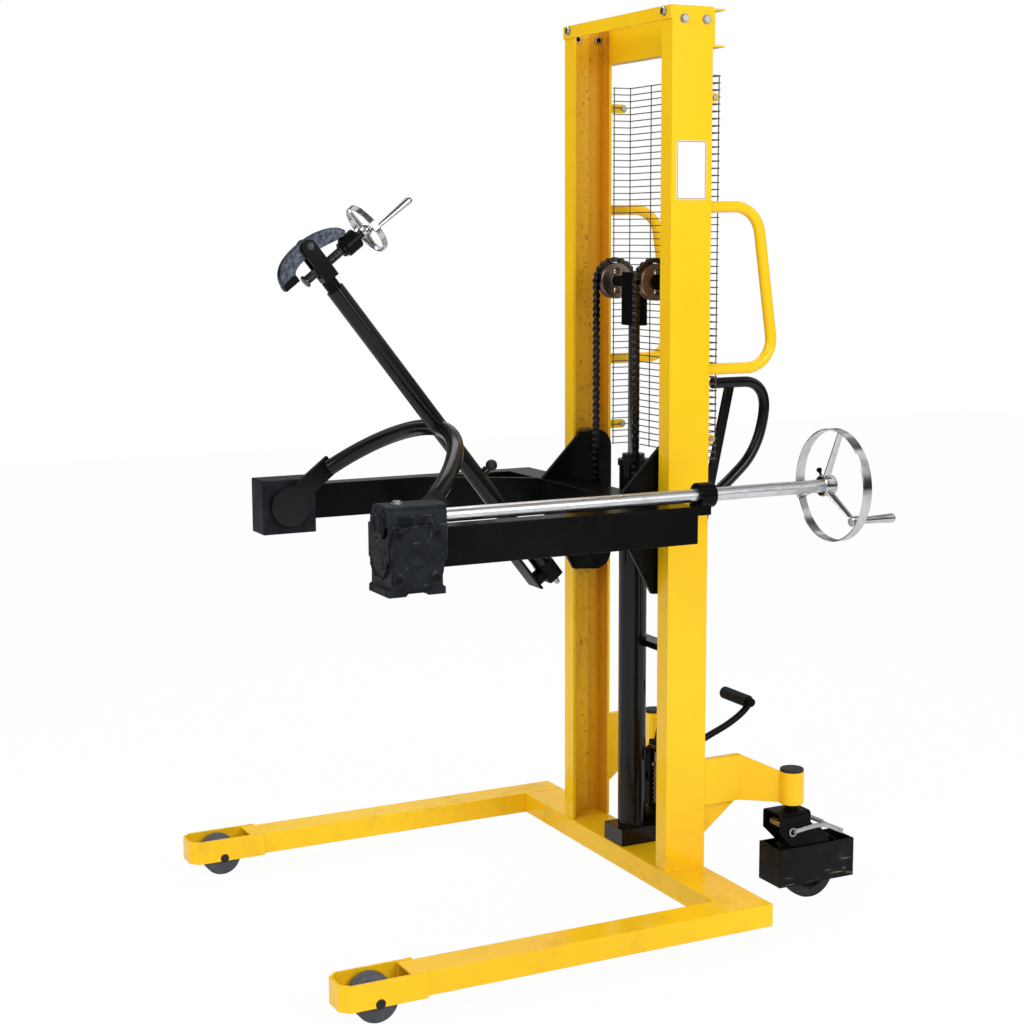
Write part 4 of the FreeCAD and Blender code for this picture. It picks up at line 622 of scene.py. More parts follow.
bronze = make_metal(
    "cast_bronze", (0.60, 0.40, 0.16), (0.42, 0.27, 0.10), rough=0.34, blots=36.0,
    scratch=(300, 300, 300), depth=0.06, tarnish=0.30, stain=(0.22, 0.15, 0.06), edge=0.8)
print("metals made")

# %% [markdown]
# The rollers and castor wheels are hard polymer: matt, dark, and scuffed in rings where they
# run. Their axles all lie along X, so a noise that changes fast along X and slowly across it
# already draws rings, and no Wave texture is needed. The foot grip, the sleeve caps and the
# small knob are softer plastic.

# %% Polymer finishes
def make_polymer(name, colour, pale, rough, rings=True):
    """Matt moulded polymer: scuff rings across X, or an even grain, and pale dust."""
    material, tree, shader, place = start_material(name)
    lines = drawn_noise(tree, place, (380, 22, 22) if rings else (90, 90, 90), 4.0, 0.6)
    dust = noise(tree, place, 48.0, 5.0, 0.65)
    mixed = times(tree, ramp(tree, lines, 0.42, 0.72), ramp(tree, dust, 0.38, 0.72))
    join(tree, tint(tree, mixed, colour, pale), shader.inputs["Base Color"])
    join(tree, ramp(tree, dust, 0.3, 0.7, rough * 0.85, rough * 1.25), shader.inputs["Roughness"])
    shader.inputs["Specular IOR Level"].default_value = 0.22
    add_bump(tree, shader, lines, 0.18, 0.3 * MM)
    return material


grey_tread = make_polymer("grey_polymer", (0.062, 0.069, 0.082), (0.20, 0.21, 0.225), 0.50)
black_tread = make_polymer("black_polymer", (0.016, 0.018, 0.019), (0.070, 0.070, 0.068), 0.50)
black_plastic = make_polymer("moulded_black_plastic", (0.014, 0.015, 0.016), (0.055, 0.055, 0.054), 0.42,
                             False)
grip_rubber = make_polymer("ribbed_rubber", (0.012, 0.012, 0.013), (0.050, 0.049, 0.047), 0.62, False)
print("polymers made")

# %% [markdown]
# Three ways to make a surface serve nearly every piece: a profile swept along a path, a profile
# turned round an axis, and an outline given a thickness. Each one works out all its points at
# once as an array, and the faces follow from the grid's row and column numbers.

# %% Surfaces from arrays
def circle(radius, sides=16):
    """Points at equal angles: (r cos t, r sin t)."""
    turn = np.linspace(0, 2 * np.pi, sides, endpoint=False)
    return radius * np.column_stack([np.cos(turn), np.sin(turn)])


def rounded_box(width, height, corner, steps=3):
    """Rectangle with round corners: four quarter circles about the four corner centres."""
    turn = np.linspace(0, np.pi / 2, steps + 1)
    quarters = []
    for index, (sx, sy) in enumerate(((1, 1), (-1, 1), (-1, -1), (1, -1))):
        angle = turn + index * np.pi / 2
        centre = np.array([sx * (width / 2 - corner), sy * (height / 2 - corner)])
        quarters.append(centre + corner * np.column_stack([np.cos(angle), np.sin(angle)]))
    return np.concatenate(quarters)


def grid_faces(rows, columns, wrap_rows, wrap_columns):
    """Quads between neighbours of a grid of points that is numbered row by row."""
    row = np.arange(rows if wrap_rows else rows - 1)
    column = np.arange(columns if wrap_columns else columns - 1)
    row, column = np.meshgrid(row, column, indexing="ij")
    after, beside = (row + 1) % rows, (column + 1) % columns
    corners = [row * columns + column, row * columns + beside, after * columns + beside,
               after * columns + column]
    return np.stack(corners, axis=-1).reshape(-1, 4).tolist()


def unit(vector):
    """Vectors divided by their lengths."""
    vector = np.asarray(vector, float)
    return vector / np.linalg.norm(vector, axis=-1, keepdims=True)


def sweep(path, profile, across=(1, 0, 0), closed=False, scale=1.0):
    """Profile carried along a path: path + p side + q rise, scaled along the way.

    side is the heading crossed with the vector across, and rise is side crossed with heading."""
    path = np.asarray(path, float)
    heading = np.roll(path, -1, 0) - np.roll(path, 1, 0) if closed else np.gradient(path, axis=0)
    heading = unit(heading)
    side = unit(np.cross(heading, across))
    rise = np.cross(side, heading)
    scale = np.broadcast_to(scale, len(path))[:, None, None]
    spread = profile[None, :, :1] * side[:, None] + profile[None, :, 1:] * rise[:, None]
    points = (path[:, None] + scale * spread).reshape(-1, 3)
    faces = grid_faces(len(path), len(profile), closed, True)
    if not closed:
        count, total = len(profile), len(points)
        faces += [list(range(count)), list(range(total - count, total))]
    return points, faces


AXES = {"x": np.eye(3), "y": np.eye(3)[[1, 2, 0]], "z": np.eye(3)[[2, 0, 1]]}


def lathe(profile, axis="x", centre=(0, 0, 0), sides=48, closed=False):
    """Turned piece: each (along, radius) of the profile goes right round the axis.

    point = centre + along e + radius (cos t u + sin t v), with e, u, v at right angles."""
    profile = np.asarray(profile, float)
    frame_axes = AXES[axis] if isinstance(axis, str) else np.asarray(axis, float)
    turn = np.linspace(0, 2 * np.pi, sides, endpoint=False)
    around = np.cos(turn)[:, None] * frame_axes[1] + np.sin(turn)[:, None] * frame_axes[2]
    points = (np.asarray(centre, float) + profile[None, :, :1] * frame_axes[0]
              + profile[None, :, 1:] * around[:, None])
    return points.reshape(-1, 3), grid_faces(sides, len(profile), True, closed)


def slab(outline, axis, low, high):
    """Outline in the two axes after this one, given a thickness from low to high along it."""
    frame_axes = AXES[axis]
    outline = np.asarray(outline, float)
    flat = outline[:, :1] * frame_axes[1] + outline[:, 1:] * frame_axes[2]
    points = np.concatenate([flat + low * frame_axes[0], flat + high * frame_axes[0]])
    count = len(outline)
    sides = [[i, (i + 1) % count, count + (i + 1) % count, count + i] for i in range(count)]
    return points, sides + [list(range(count)), list(range(count, 2 * count))]


def arc(centre, radius, start, end, steps=12):
    """Points on a circle between two angles in degrees."""
    turn = np.radians(np.linspace(start, end, steps))
    return np.asarray(centre, float) + radius * np.column_stack([np.cos(turn), np.sin(turn)])


def smooth_path(points, steps=8):
    """Curve through points: each span is the Catmull-Rom cubic of its four nearest points."""
    points = np.asarray(points, float)
    padded = np.concatenate([[2 * points[0] - points[1]], points, [2 * points[-1] - points[-2]]])
    before, start, end, after = padded[:-3], padded[1:-2], padded[2:-1], padded[3:]
    share = np.linspace(0, 1, steps, endpoint=False)[None, :, None]
    b, s, e, a = (part[:, None] for part in (before, start, end, after))
    curve = 0.5 * (2 * s + (e - b) * share + (2 * b - 5 * s + 4 * e - a) * share ** 2
                   + (3 * s - b - 3 * e + a) * share ** 3)
    return np.concatenate([curve.reshape(-1, points.shape[1]), points[-1:]])


def placed(shape, matrix=np.eye(3), offset=(0, 0, 0)):
    """Same shape turned by a 3 by 3 matrix, then moved."""
    points, faces = shape
    return points @ np.asarray(matrix, float).T + np.asarray(offset, float), faces


def copies(shape, offsets):
    """Same shape at many places, as one array of points."""
    points, faces = shape
    offsets = np.asarray(offsets, float)
    everywhere = (points[None] + offsets[:, None]).reshape(-1, 3)
    step = len(points)
    numbers = [[index + turn * step for index in face] for turn in range(len(offsets)) for face in faces]
    return everywhere, numbers


def rod(radius, start, end, axis, centre, sides):
    """Plain round bar between two distances along its axis."""
    return lathe([(start, 0), (start, radius), (end, radius), (end, 0)], axis, centre, sides)


SIDES = ((1, "left"), (-1, "right"))
print("surface helpers ready")

# %% [markdown]
# A surface becomes a piece of the object once it carries its finish in a slot, rides on the body
# it moves with, and hides the construction node it stands for. A finished piece lies at the origin,
# with its place in its mesh. Its doubles are merged and its faces turned outwards first, and
# then a Bevel modifier can round the sharp edges.

# %% Pieces
made = {}


def finish_mesh(mesh, smooth_angle):
    """Merge doubles, face outward, then shade smooth except across sharp edges."""
    shell = bmesh.new()
    shell.from_mesh(mesh)
    bmesh.ops.remove_doubles(shell, verts=shell.verts, dist=0.004 * MM)
    bmesh.ops.recalc_face_normals(shell, faces=shell.faces)
    shell.to_mesh(mesh)
    shell.free()
    mesh.polygons.foreach_set("use_smooth", np.ones(len(mesh.polygons), bool))
    mesh.set_sharp_from_angle(angle=math.radians(smooth_angle))


def add_bevel(piece, width):
    """Round the sharp edges of a piece by a width in millimetres."""
    bevel = piece.modifiers.new("soft_edges", "BEVEL")
    bevel.width = width * MM
    bevel.segments = 2
    bevel.limit_method = "ANGLE"
    bevel.angle_limit = math.radians(38)
    bevel.harden_normals = True


def settle(piece, body, nodes):
    """Put a piece in the scene, parent it to the body it rides on if it has one, and hide the
    construction nodes it stands for. A piece without a body stays unattached."""
    bpy.context.scene.collection.objects.link(piece)
    if body:
        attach(piece, body)
    if nodes:
        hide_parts(*nodes)
    made[piece.name] = len(piece.data.polygons)
    return piece


def make_piece(name, shapes, finish, body, nodes=(), bevel=None, smooth=40):
    """One object of several closed surfaces, whose faces count on from one to the next."""
    points, faces, start = [], [], 0
    for shape_points, shape_faces in shapes:
        points.append(shape_points)
        faces += [[index + start for index in face] for face in shape_faces]
        start += len(shape_points)
    mesh = bpy.data.meshes.new(name)
    mesh.from_pydata(np.concatenate(points).tolist(), [], faces)
    finish_mesh(mesh, smooth)
    mesh.materials.append(finish)
    piece = bpy.data.objects.new(name, mesh)
    if bevel:
        add_bevel(piece, bevel)
    return settle(piece, body, nodes)


def dressed(node, finish, bevel, smooth):
    """Copy of a construction node: its loose triangles are merged and flat faces joined, so
    that round faces shade smoothly and a small bevel can catch the light along its edges."""
    source = frame["nodes"][node]
    mesh = source.data.copy()
    shell = bmesh.new()
    shell.from_mesh(mesh)
    bmesh.ops.remove_doubles(shell, verts=shell.verts, dist=0.01 * MM)
    bmesh.ops.dissolve_limit(shell, angle_limit=math.radians(0.5), verts=shell.verts, edges=shell.edges)
    bmesh.ops.dissolve_degenerate(shell, edges=shell.edges, dist=0.01 * MM)
    shell.to_mesh(mesh)
    shell.free()
    mesh.polygons.foreach_set("use_smooth", np.ones(len(mesh.polygons), bool))
    mesh.set_sharp_from_angle(angle=math.radians(smooth))
    if mesh.has_custom_normals:
        mesh.attributes.remove(mesh.attributes["custom_normal"])
    mesh.materials.clear()
    mesh.materials.append(finish)
    piece = bpy.data.objects.new(node + "_finished", mesh)
    if bevel:
        add_bevel(piece, bevel)
    return settle(piece, source["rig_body"], (node,))


print("piece helpers ready")

# %% [markdown]
# Most of the welded frame already has the right shape: box-section legs, channel uprights, bent
# tube handles and cranked outriggers. These pieces keep the construction's shape. Each becomes a
# copy with its triangles merged and its finish, and most also get a narrow rounded edge. Real
# sections have such an edge from rolling, and it draws the pale line seen along every corner.

# %% Dressed pieces
DRESSED = [
    (("left_leg", "right_leg", "base_crossbeam"), yellow, 2.0, 32),
    (("left_upright", "right_upright"), yellow_tracks, 1.8, 32),
    (("left_fork_bracket", "right_fork_bracket"), yellow_tips, 1.4, 32),
    (("top_crossmembers",), yellow, None, 32),
    (("left_outrigger", "right_outrigger"), yellow, 1.2, 32),
    (("left_rear_handle", "right_rear_handle"), yellow, None, 50),
    (("lift_cylinder",), gloss_black, 0.8, 32),
    (("pump_body",), black, 1.2, 32),
    (("carriage_crossbeam", "left_arm", "right_arm"), black, 1.6, 32),
    (("carriage_plates",), black, 1.0, 32),
    (("shaft_collar",), black, 1.0, 32),
    (("ram_head",), black, 1.5, 32),
    (("piston_rod",), rod_chrome, None, 32),
    (("holder_hoop",), gloss_black, None, 40),
    (("spine_tube",), gloss_black, 0.8, 32),
    (("clamp_link",), black, 1.0, 32),
    (("lock_knob",), black_plastic, None, 40),
    (("worm_shaft",), shaft_steel, 0.6, 32),
    (("worm_wheel",), bronze, None, 32),
    (("right_bearing_block",), casting, 2.5, 32),
    (("left_upper_roller", "right_upper_roller", "left_lower_roller", "right_lower_roller"), worn_steel,
     0.8, 32),
    (("pump_plunger",), zinc, 0.3, 32),
    (("left_castor_guard", "right_castor_guard"), scuffed_black, 1.0, 32),
]
for nodes, finish, bevel, smooth in DRESSED:
    for node in nodes:
        dressed(node, finish, bevel, smooth)
print(len(made), "dressed pieces,", sum(made.values()), "faces")

# %% [markdown]
# The guard behind the mast is a welded net of thin wire with its sides bent forward to the
# uprights. Each crosswise wire is one round bar that turns the two corners, and the upright
# wires lie in front of the crosswise ones, which they touch. A swept circle gives each of them.

# %% Mesh guard
MESH_LOW, MESH_HIGH = 1.0135, 1.8505
MESH_FRONT, MESH_BACK_Y = 0.3255, 0.3732
MESH_SIDE = 0.1940
MESH_ROWS = 56
WIRE = 1.35 * MM


def mesh_guard():
    """Crosswise bars bent by quarter circles, at even levels with a slight sine waver, and posts."""
    bend = 5 * MM
    corner = arc((MESH_SIDE - bend, MESH_BACK_Y - bend), bend, 0, 90, 5)
    half = np.concatenate([[[MESH_SIDE, MESH_FRONT]], corner])
    whole = np.concatenate([half, half[::-1] * (-1, 1)])
    row = np.column_stack([whole, np.zeros(len(whole))])
    bar = sweep(row, circle(WIRE, 6), across=(0, 0, 1))
    levels = np.linspace(MESH_LOW, MESH_HIGH, MESH_ROWS)
    waver = 0.8 * MM * np.sin(levels * 57.0)
    shapes = [copies(bar, np.column_stack([0 * levels, 0 * levels, levels + waver * 0.4]))]
    upright = np.array([[0, 0, MESH_LOW - 1.2 * MM], [0, 0, MESH_HIGH + 1.2 * MM]])
    post = sweep(upright, circle(WIRE * 1.1, 6))
    inner = MESH_BACK_Y - 2 * WIRE
    places = [(x, inner, 0) for x in np.linspace(-MESH_SIDE * 0.98, MESH_SIDE * 0.98, 5)]
    places += [(sign * (MESH_SIDE - 2 * WIRE), MESH_FRONT + 2 * MM, 0) for sign in (-1, 1)]
    shapes.append(copies(post, places))
    return make_piece("mesh_guard_wires", shapes, wire_steel, "chassis", ("mesh_guard",),
                      smooth=60)


mesh_guard()
print("net of", MESH_ROWS, "rows")

# %% [markdown]
# Hexagon screws hold the top bar, and small screws with washers hold the net to its tabs. A
# screw's head is a lathe with only six sides and a narrower top, and a washer lies under it.

# %% Fasteners
def hex_head(radius, height, axis, centre, way=1):
    """Hexagon head: a lathe of only six sides, whose radius falls to 0.86 towards its top."""
    profile = [(0, 0), (0, radius), (way * height * 0.82, radius), (way * height, radius * 0.86),
               (way * height, 0)]
    return lathe(profile, axis, centre, sides=6)


def washer(radius, height, axis, centre, way=1):
    """Thin disc that stands on the face at centre."""
    return rod(radius, 0, way * height, axis, centre, 28)


MAST_FACE, MAST_WEB = 0.2385, 0.1955
TOP_SCREW_Z = 1.961
TOP_SCREW_Y = (0.250, 0.305)
BAR_SCREW = (0.212, 0.217, 1.977)
TAB_INNER, TAB_OUTER, TAB_Y = 0.1925, 0.1995, 0.354
TAB_LEVELS = (1.060, 1.803)


def fasteners():
    """Two screws at each end of the top beam, one at each end of the front bar, one at each tab."""
    shapes = []
    for sign in (-1, 1):
        face = sign * MAST_FACE
        for y in TOP_SCREW_Y:
            shapes.append(washer(0.0100, 0.0012, "x", (face, y, TOP_SCREW_Z), sign))
            shapes.append(hex_head(0.0092, 0.0064, "x", (face + sign * 0.0012, y, TOP_SCREW_Z), sign))
            shapes.append(rod(0.0055, 0, -sign * 0.0115, "x", (face, y, TOP_SCREW_Z), 20))
            shapes.append(hex_head(0.0095, 0.0055, "x", (face - sign * 0.006, y, TOP_SCREW_Z), -sign))
        x, y, z = sign * BAR_SCREW[0], BAR_SCREW[1], BAR_SCREW[2]
        shapes.append(washer(0.0100, 0.0010, "y", (x, y, z), -1))
        shapes.append(hex_head(0.0092, 0.0055, "y", (x, y - 0.001, z), -1))
        shapes.append(rod(0.0055, 0, 0.018, "y", (x, y, z), 20))
        shapes.append(hex_head(0.0095, 0.0055, "y", (x, y + 0.0122, z), 1))
        inner, outer = sign * TAB_INNER, sign * TAB_OUTER
        for level in TAB_LEVELS:
            shapes.append(washer(0.0062, 0.0010, "x", (outer, TAB_Y, level), sign))
            shapes.append(hex_head(0.0056, 0.0032, "x", (outer + sign * 0.001, TAB_Y, level), sign))
            shapes.append(rod(0.0029, 0, -sign * 0.0105, "x", (outer, TAB_Y, level), 14))
            shapes.append(washer(0.0062, 0.0030, "x", (inner, TAB_Y, level), -sign))
    return make_piece("hex_screws", shapes, zinc, "chassis", ("frame_fasteners",), smooth=28)


fasteners()
fasteners_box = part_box("frame_fasteners")
print("screws", [round(v, 4) for v in (*fasteners_box[0], *fasteners_box[1])])

# %% [markdown]
# Welds join the base, the uprights and the outriggers. A weld bead is a thin bar with ripples,
# painted with the rest: a swept circle whose radius swells and shrinks along the way.

# %% Weld beads
RIPPLE = 3.2
UPRIGHT_FRONT, UPRIGHT_REAR = 0.2212, 0.3228
FOOT_WELD_Z = 0.0905
OUTRIGGER_WELD = (0.232, 0.334)
HANDLE_LEVELS = (1.216, 1.570)


def bead(start, end, radius=2.6, across=(0, 0, 1)):
    """Rippled bar along a straight line: radius r (1 + 0.17 sin + 0.06 slow sin), in millimetres,
    one ripple to every RIPPLE, and thinner at both ends."""
    start, end = np.asarray(start, float), np.asarray(end, float)
    length = np.linalg.norm(end - start)
    count = max(int(length / MM / RIPPLE * 4), 8)
    share = np.linspace(0, 1, count)
    wave = 1 + 0.17 * np.sin(share * length / MM / RIPPLE * 2 * np.pi) + 0.06 * np.sin(share * 37)
    ends = np.minimum(1, np.minimum(share, 1 - share) * length / (2.0 * MM) + 0.35)
    return sweep(start + share[:, None] * (end - start), circle(radius * MM, 8), across, scale=wave * ends)


def welds():
    """Beads round each upright's foot, over each leg, up each outrigger, and rings at the handles."""
    shapes = []
    turn = np.radians(np.arange(0, 360, 5))
    ripple = 1 + 0.18 * np.sin(turn * 22)
    for sign in (-1, 1):
        outer, inner, web = sign * MAST_FACE, sign * MAST_WEB, sign * 0.2325
        front, rear, level = UPRIGHT_FRONT, UPRIGHT_REAR, FOOT_WELD_Z
        shapes.append(bead((outer, front, level), (outer, rear - 0.004, level)))
        shapes.append(bead((inner, front, level), (outer, front, level)))
        shapes.append(bead((web, front + 0.010, level), (web, rear - 0.010, level), 2.4))
        shapes.append(bead((sign * 0.442, 0.2185, 0.0895), (sign * 0.442, 0.317, 0.0895), 1.6))
        for x in (sign * 0.2195, sign * 0.2375):
            low, high = ((x, 0.3235, level) for level in OUTRIGGER_WELD)
            shapes.append(bead(low, high, 2.0, across=(1, 0, 0)))
        for level in HANDLE_LEVELS:
            ring = np.column_stack([sign * 0.216 + 0.0128 * np.cos(turn), np.full(len(turn), 0.3238),
                                    level + 0.0128 * np.sin(turn)])
            shapes.append(sweep(ring, circle(2.1 * MM, 7), (0, 1, 0), True, ripple))
    return make_piece("weld_beads", shapes, yellow, "chassis", smooth=70)


welds()
print("welds made")

# %% [markdown]
# The lifting chains are leaf chains: flat figure-of-eight plates, laced two and four abreast on
# round pins. One plate outline and one pin are enough; every other one is the same shape at
# another place. The front chains stretch from the carriage to the sheaves and the rear chains
# from the frame to the sheaves. A strand is cut into sections, which are not attached to a body.
# The part that lies on a sheave rides with the ram.

# %% Chain shapes
PITCH = 15.875 * MM
CHAIN_X = 0.090
CHAIN_FRONT_Y, CHAIN_REAR_Y = 0.2238, 0.3202
SHEAVE_Y, SHEAVE_Z, SHEAVE_PITCH_RADIUS = 0.272, 1.405, 0.0482
LOBE, WAIST = 6.0 * MM, 3.1 * MM
SECTIONS = 6


def plate_outline(pitch):
    """Figure of eight along the second axis: arcs about two pins and a narrow waist."""
    low = arc((0, 0), LOBE, 155, 385, 8)
    high = arc((0, pitch), LOBE, -25, 205, 8)
    right, left = [[WAIST, pitch / 2]], [[-WAIST, pitch / 2]]
    return np.concatenate([low, right, high, left])


def link_set(pitch, odd):
    """Plates of one link across X: two abreast, or four about them."""
    spots = (-4.6, 4.6) if odd else (-6.9, -2.3, 2.3, 6.9)
    plate = slab(plate_outline(pitch), "x", -1.0 * MM, 1.0 * MM)
    return copies(plate, [(spot * MM, 0, 0) for spot in spots])


def chain_pin():
    """Round pin along X with rounded heads."""
    head, half = 2.6 * MM, 7.95 * MM
    return lathe([(-half, 0), (-half, head * 0.7), (-half + 0.5 * MM, head), (half - 0.5 * MM, head),
                  (half, head * 0.7), (half, 0)], "x", sides=10)


def strand(name, y, low, high, nodes):
    """Straight run of links at both sides of the mast, cut into SECTIONS pieces that are not
    attached to a body."""
    count = int(round((high - low) / PITCH))
    pitch = (high - low) / count
    cuts = [round(count * index / SECTIONS) for index in range(SECTIONS + 1)]
    for index, (first, after) in enumerate(zip(cuts, cuts[1:])):
        shapes = []
        for sign in (-1, 1):
            for odd in (0, 1):
                rows = [low + pitch * link for link in range(first, after) if link % 2 == odd]
                shapes.append(copies(link_set(pitch, odd), [(sign * CHAIN_X, y, z) for z in rows]))
            pins = low + pitch * np.arange(first, after + (after == count))
            shapes.append(copies(chain_pin(), [(sign * CHAIN_X, y, z) for z in pins]))
        piece = make_piece(f"{name}_{index + 1}", shapes, chain_steel, None,
                           nodes if index == 0 else (), smooth=35)
        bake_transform(piece)
    return count


def wraps():
    """Ten links bent over each sheave: each plate is turned to lie along its own chord."""
    count = 10
    step = math.pi / count
    chord = 2 * SHEAVE_PITCH_RADIUS * math.sin(step / 2)
    shapes = []
    for sign in (-1, 1):
        for index in range(count):
            at = math.pi - index * step
            tilt = math.pi - at + step / 2
            turn = np.array([[1, 0, 0], [0, math.cos(tilt), math.sin(tilt)],
                             [0, -math.sin(tilt), math.cos(tilt)]])
            place = (sign * CHAIN_X, SHEAVE_Y + SHEAVE_PITCH_RADIUS * math.cos(at),
                     SHEAVE_Z + SHEAVE_PITCH_RADIUS * math.sin(at))
            shapes.append(placed(link_set(chord, index % 2), turn, place))
            shapes.append(placed(chain_pin(), offset=place))
    return make_piece("chain_wraps_links", shapes, chain_steel, "ram", ("chain_wraps",),
                      smooth=35)


front_links = strand("front_chain_run", CHAIN_FRONT_Y, 0.9425, 1.4045,
                     ("front_chains",))
rear_links = strand("rear_chain_run", CHAIN_REAR_Y, 0.5755, 1.4045,
                    ("rear_chains",))
wraps()
print("links", front_links, rear_links)

# %% [markdown]
# The sheaves are turned discs of bare steel, rubbed brown, with round lightening holes. The rim
# and the hub are lathes. The web between them is made in sectors: each sector's edge is joined
# to its hole by a ring of faces, on both sides, and a short wall lines the hole.

# %% Sheaves
def pierced_web(inner, outer, hole, at, half, sectors, steps):
    """Disc with one hole in each sector. Edge points go round the sector, and each has a point
    of the hole in its own direction: ring = middle + hole (edge - middle) / |edge - middle|."""
    shapes = []
    span = 2 * np.pi / sectors
    share = np.linspace(0, 1, steps, endpoint=False)
    for index in range(sectors):
        low, high = index * span, (index + 1) * span
        radius = np.concatenate([np.full(steps, outer), outer + (inner - outer) * share,
                                 np.full(steps, inner), inner + (outer - inner) * share])
        turn = np.concatenate([low + span * share, np.full(steps, high), high - span * share,
                               np.full(steps, low)])
        edge = np.column_stack([radius * np.cos(turn), radius * np.sin(turn)])
        middle = at * np.array([math.cos(low + span / 2), math.sin(low + span / 2)])
        ring = middle + hole * unit(edge - middle)
        loops = [(ring, -half), (edge, -half), (edge, half), (ring, half)]
        points = np.stack([np.column_stack([np.full(len(flat), along), flat]) for flat, along in loops])
        shapes.append((points.reshape(-1, 3), grid_faces(4, len(edge), True, True)))
    return shapes


def sheave(side, sign):
    """Grooved rim, hub, and a web with one hole on each side of the axle."""
    centre = np.array([sign * CHAIN_X, SHEAVE_Y, SHEAVE_Z])
    rim = [(-0.0120, 0.0290), (-0.0120, 0.0395), (-0.0105, 0.0412), (-0.0078, 0.0412), (-0.0070, 0.0385),
           (0.0070, 0.0385), (0.0078, 0.0412), (0.0105, 0.0412), (0.0120, 0.0395), (0.0120, 0.0290),
           (0.0100, 0.0275), (-0.0100, 0.0275)]
    hub = [(-0.0120, 0.0125), (-0.0120, 0.0150), (-0.0105, 0.0160), (0.0105, 0.0160), (0.0120, 0.0150),
           (0.0120, 0.0125)]
    shapes = [lathe(rim, "x", centre, 72, closed=True), lathe(hub, "x", centre, 40, closed=True)]
    webs = pierced_web(inner=0.0128, outer=0.0305, hole=0.0080, at=0.0216, half=0.0108, sectors=2, steps=24)
    shapes += [placed(web, offset=centre) for web in webs]
    body = frame["nodes"][f"{side}_sheave"]["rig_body"]
    make_piece(f"{side}_sheave_disc", shapes, worn_steel, body,
               (f"{side}_sheave",), bevel=0.4, smooth=32)


for sign, side in SIDES:
    sheave(side, sign)
print("sheaves made")

# %% [markdown]
# The pump's return spring is a helix of round wire. The wire is one sweep of a circle along
# (r cos t, r sin t, p t), and its two end coils lie flat.

# %% Pump spring
PUMP_Y = 0.344


def pump_spring():
    """Helix with flat ends: its rise waits at 0 and at 1 while the wire goes on round."""
    turns, radius, low, high = 9, 11.8 * MM, 0.1695, 0.2605
    t = np.linspace(0, 1, turns * 20 + 1)
    rise = np.clip((t - 0.07) / 0.86, 0, 1)
    angle = 2 * np.pi * turns * t
    path = np.column_stack([radius * np.cos(angle), PUMP_Y + radius * np.sin(angle),
                            low + (high - low) * rise])
    piece = make_piece("pump_spring_coil", [sweep(path, circle(1.1 * MM, 8), (0, 0, 1))], spring_steel,
                       None, ("pump_spring",), smooth=60)
    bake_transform(piece)
    return turns


print("coils", pump_spring())

# %% [markdown]
# The front rollers are solid polymer turned with a slight crown; the castor wheels have a
# rounded tread, a dished web and a boss. Both are lathes: a closed outline of (distance along
# the axle, radius) goes right round.

# %% Wheels
CASTOR_X, CASTOR_PIVOT_Y = 0.303, 0.515
CASTOR_AXLE = (0.562, 0.0625)
BRAKE_PIN = (0.494, 0.172)


def load_rollers():
    """Solid rollers with a slight crown: the radius falls from 45 mm in the middle to the rims."""
    for sign, side in SIDES:
        half, bore = 31 * MM, 10.2 * MM
        body_profile = [(-half, bore), (-half, 0.0300), (-half + 1 * MM, 0.0405), (-half + 3 * MM, 0.0433),
                        (-half + 7 * MM, 0.0447), (0, 0.0450), (half - 7 * MM, 0.0447),
                        (half - 3 * MM, 0.0433), (half - 1 * MM, 0.0405), (half, 0.0300), (half, bore)]
        roller = lathe(body_profile, "x", (sign * 0.4795, *ROLLER_AXLE), 64, closed=True)
        make_piece(f"{side}_solid_roller", [roller], grey_tread, f"{side}_load_roller",
                   (f"{side}_load_roller",), smooth=32)


def castor_wheels():
    """Rounded tread, dished web and boss as one closed outline."""
    for sign, side in SIDES:
        tread = [(-0.0200, 0.0400), (-0.0198, 0.0555), (-0.0170, 0.0602), (-0.0120, 0.0619), (0, 0.0625),
                 (0.0120, 0.0619), (0.0170, 0.0602), (0.0198, 0.0555), (0.0200, 0.0400),
                 (0.0175, 0.0370), (0.0080, 0.0350), (0.0070, 0.0260), (0.0090, 0.0205), (0.0290, 0.0150),
                 (0.0297, 0.0135), (0.0297, 0.0082), (-0.0297, 0.0082), (-0.0297, 0.0135), (-0.0290, 0.0150),
                 (-0.0090, 0.0205), (-0.0070, 0.0260), (-0.0080, 0.0350), (-0.0175, 0.0370)]
        wheel = lathe(tread, "x", (sign * CASTOR_X, *CASTOR_AXLE), 72, closed=True)
        make_piece(f"{side}_castor_tyre", [wheel], black_tread, f"{side}_castor_wheel",
                   (f"{side}_castor_wheel",), smooth=32)


load_rollers()
castor_wheels()
print("wheels made")

# %% [markdown]
# Both hand wheels are made the same way: a flat steel band rolled into a hoop, three flat strips
# for spokes, a turned hub, and a tapered crank rod. The band and hub are lathes. A spoke is a
# rounded strip swept from the hub out to the band.

# %% Hand wheel parts
def band(axis_matrix, centre, outer, thickness, half_width):
    """Rolled hoop: a thin rectangle with rounded lips, turned right round."""
    lip = thickness * 0.42
    inner = outer - thickness
    profile = [(-half_width, inner + lip), (-half_width, outer - lip), (-half_width + lip, outer),
               (half_width - lip, outer), (half_width, outer - lip), (half_width, inner + lip),
               (half_width - lip, inner), (-half_width + lip, inner)]
    return lathe(profile, axis_matrix, centre, 96, closed=True)


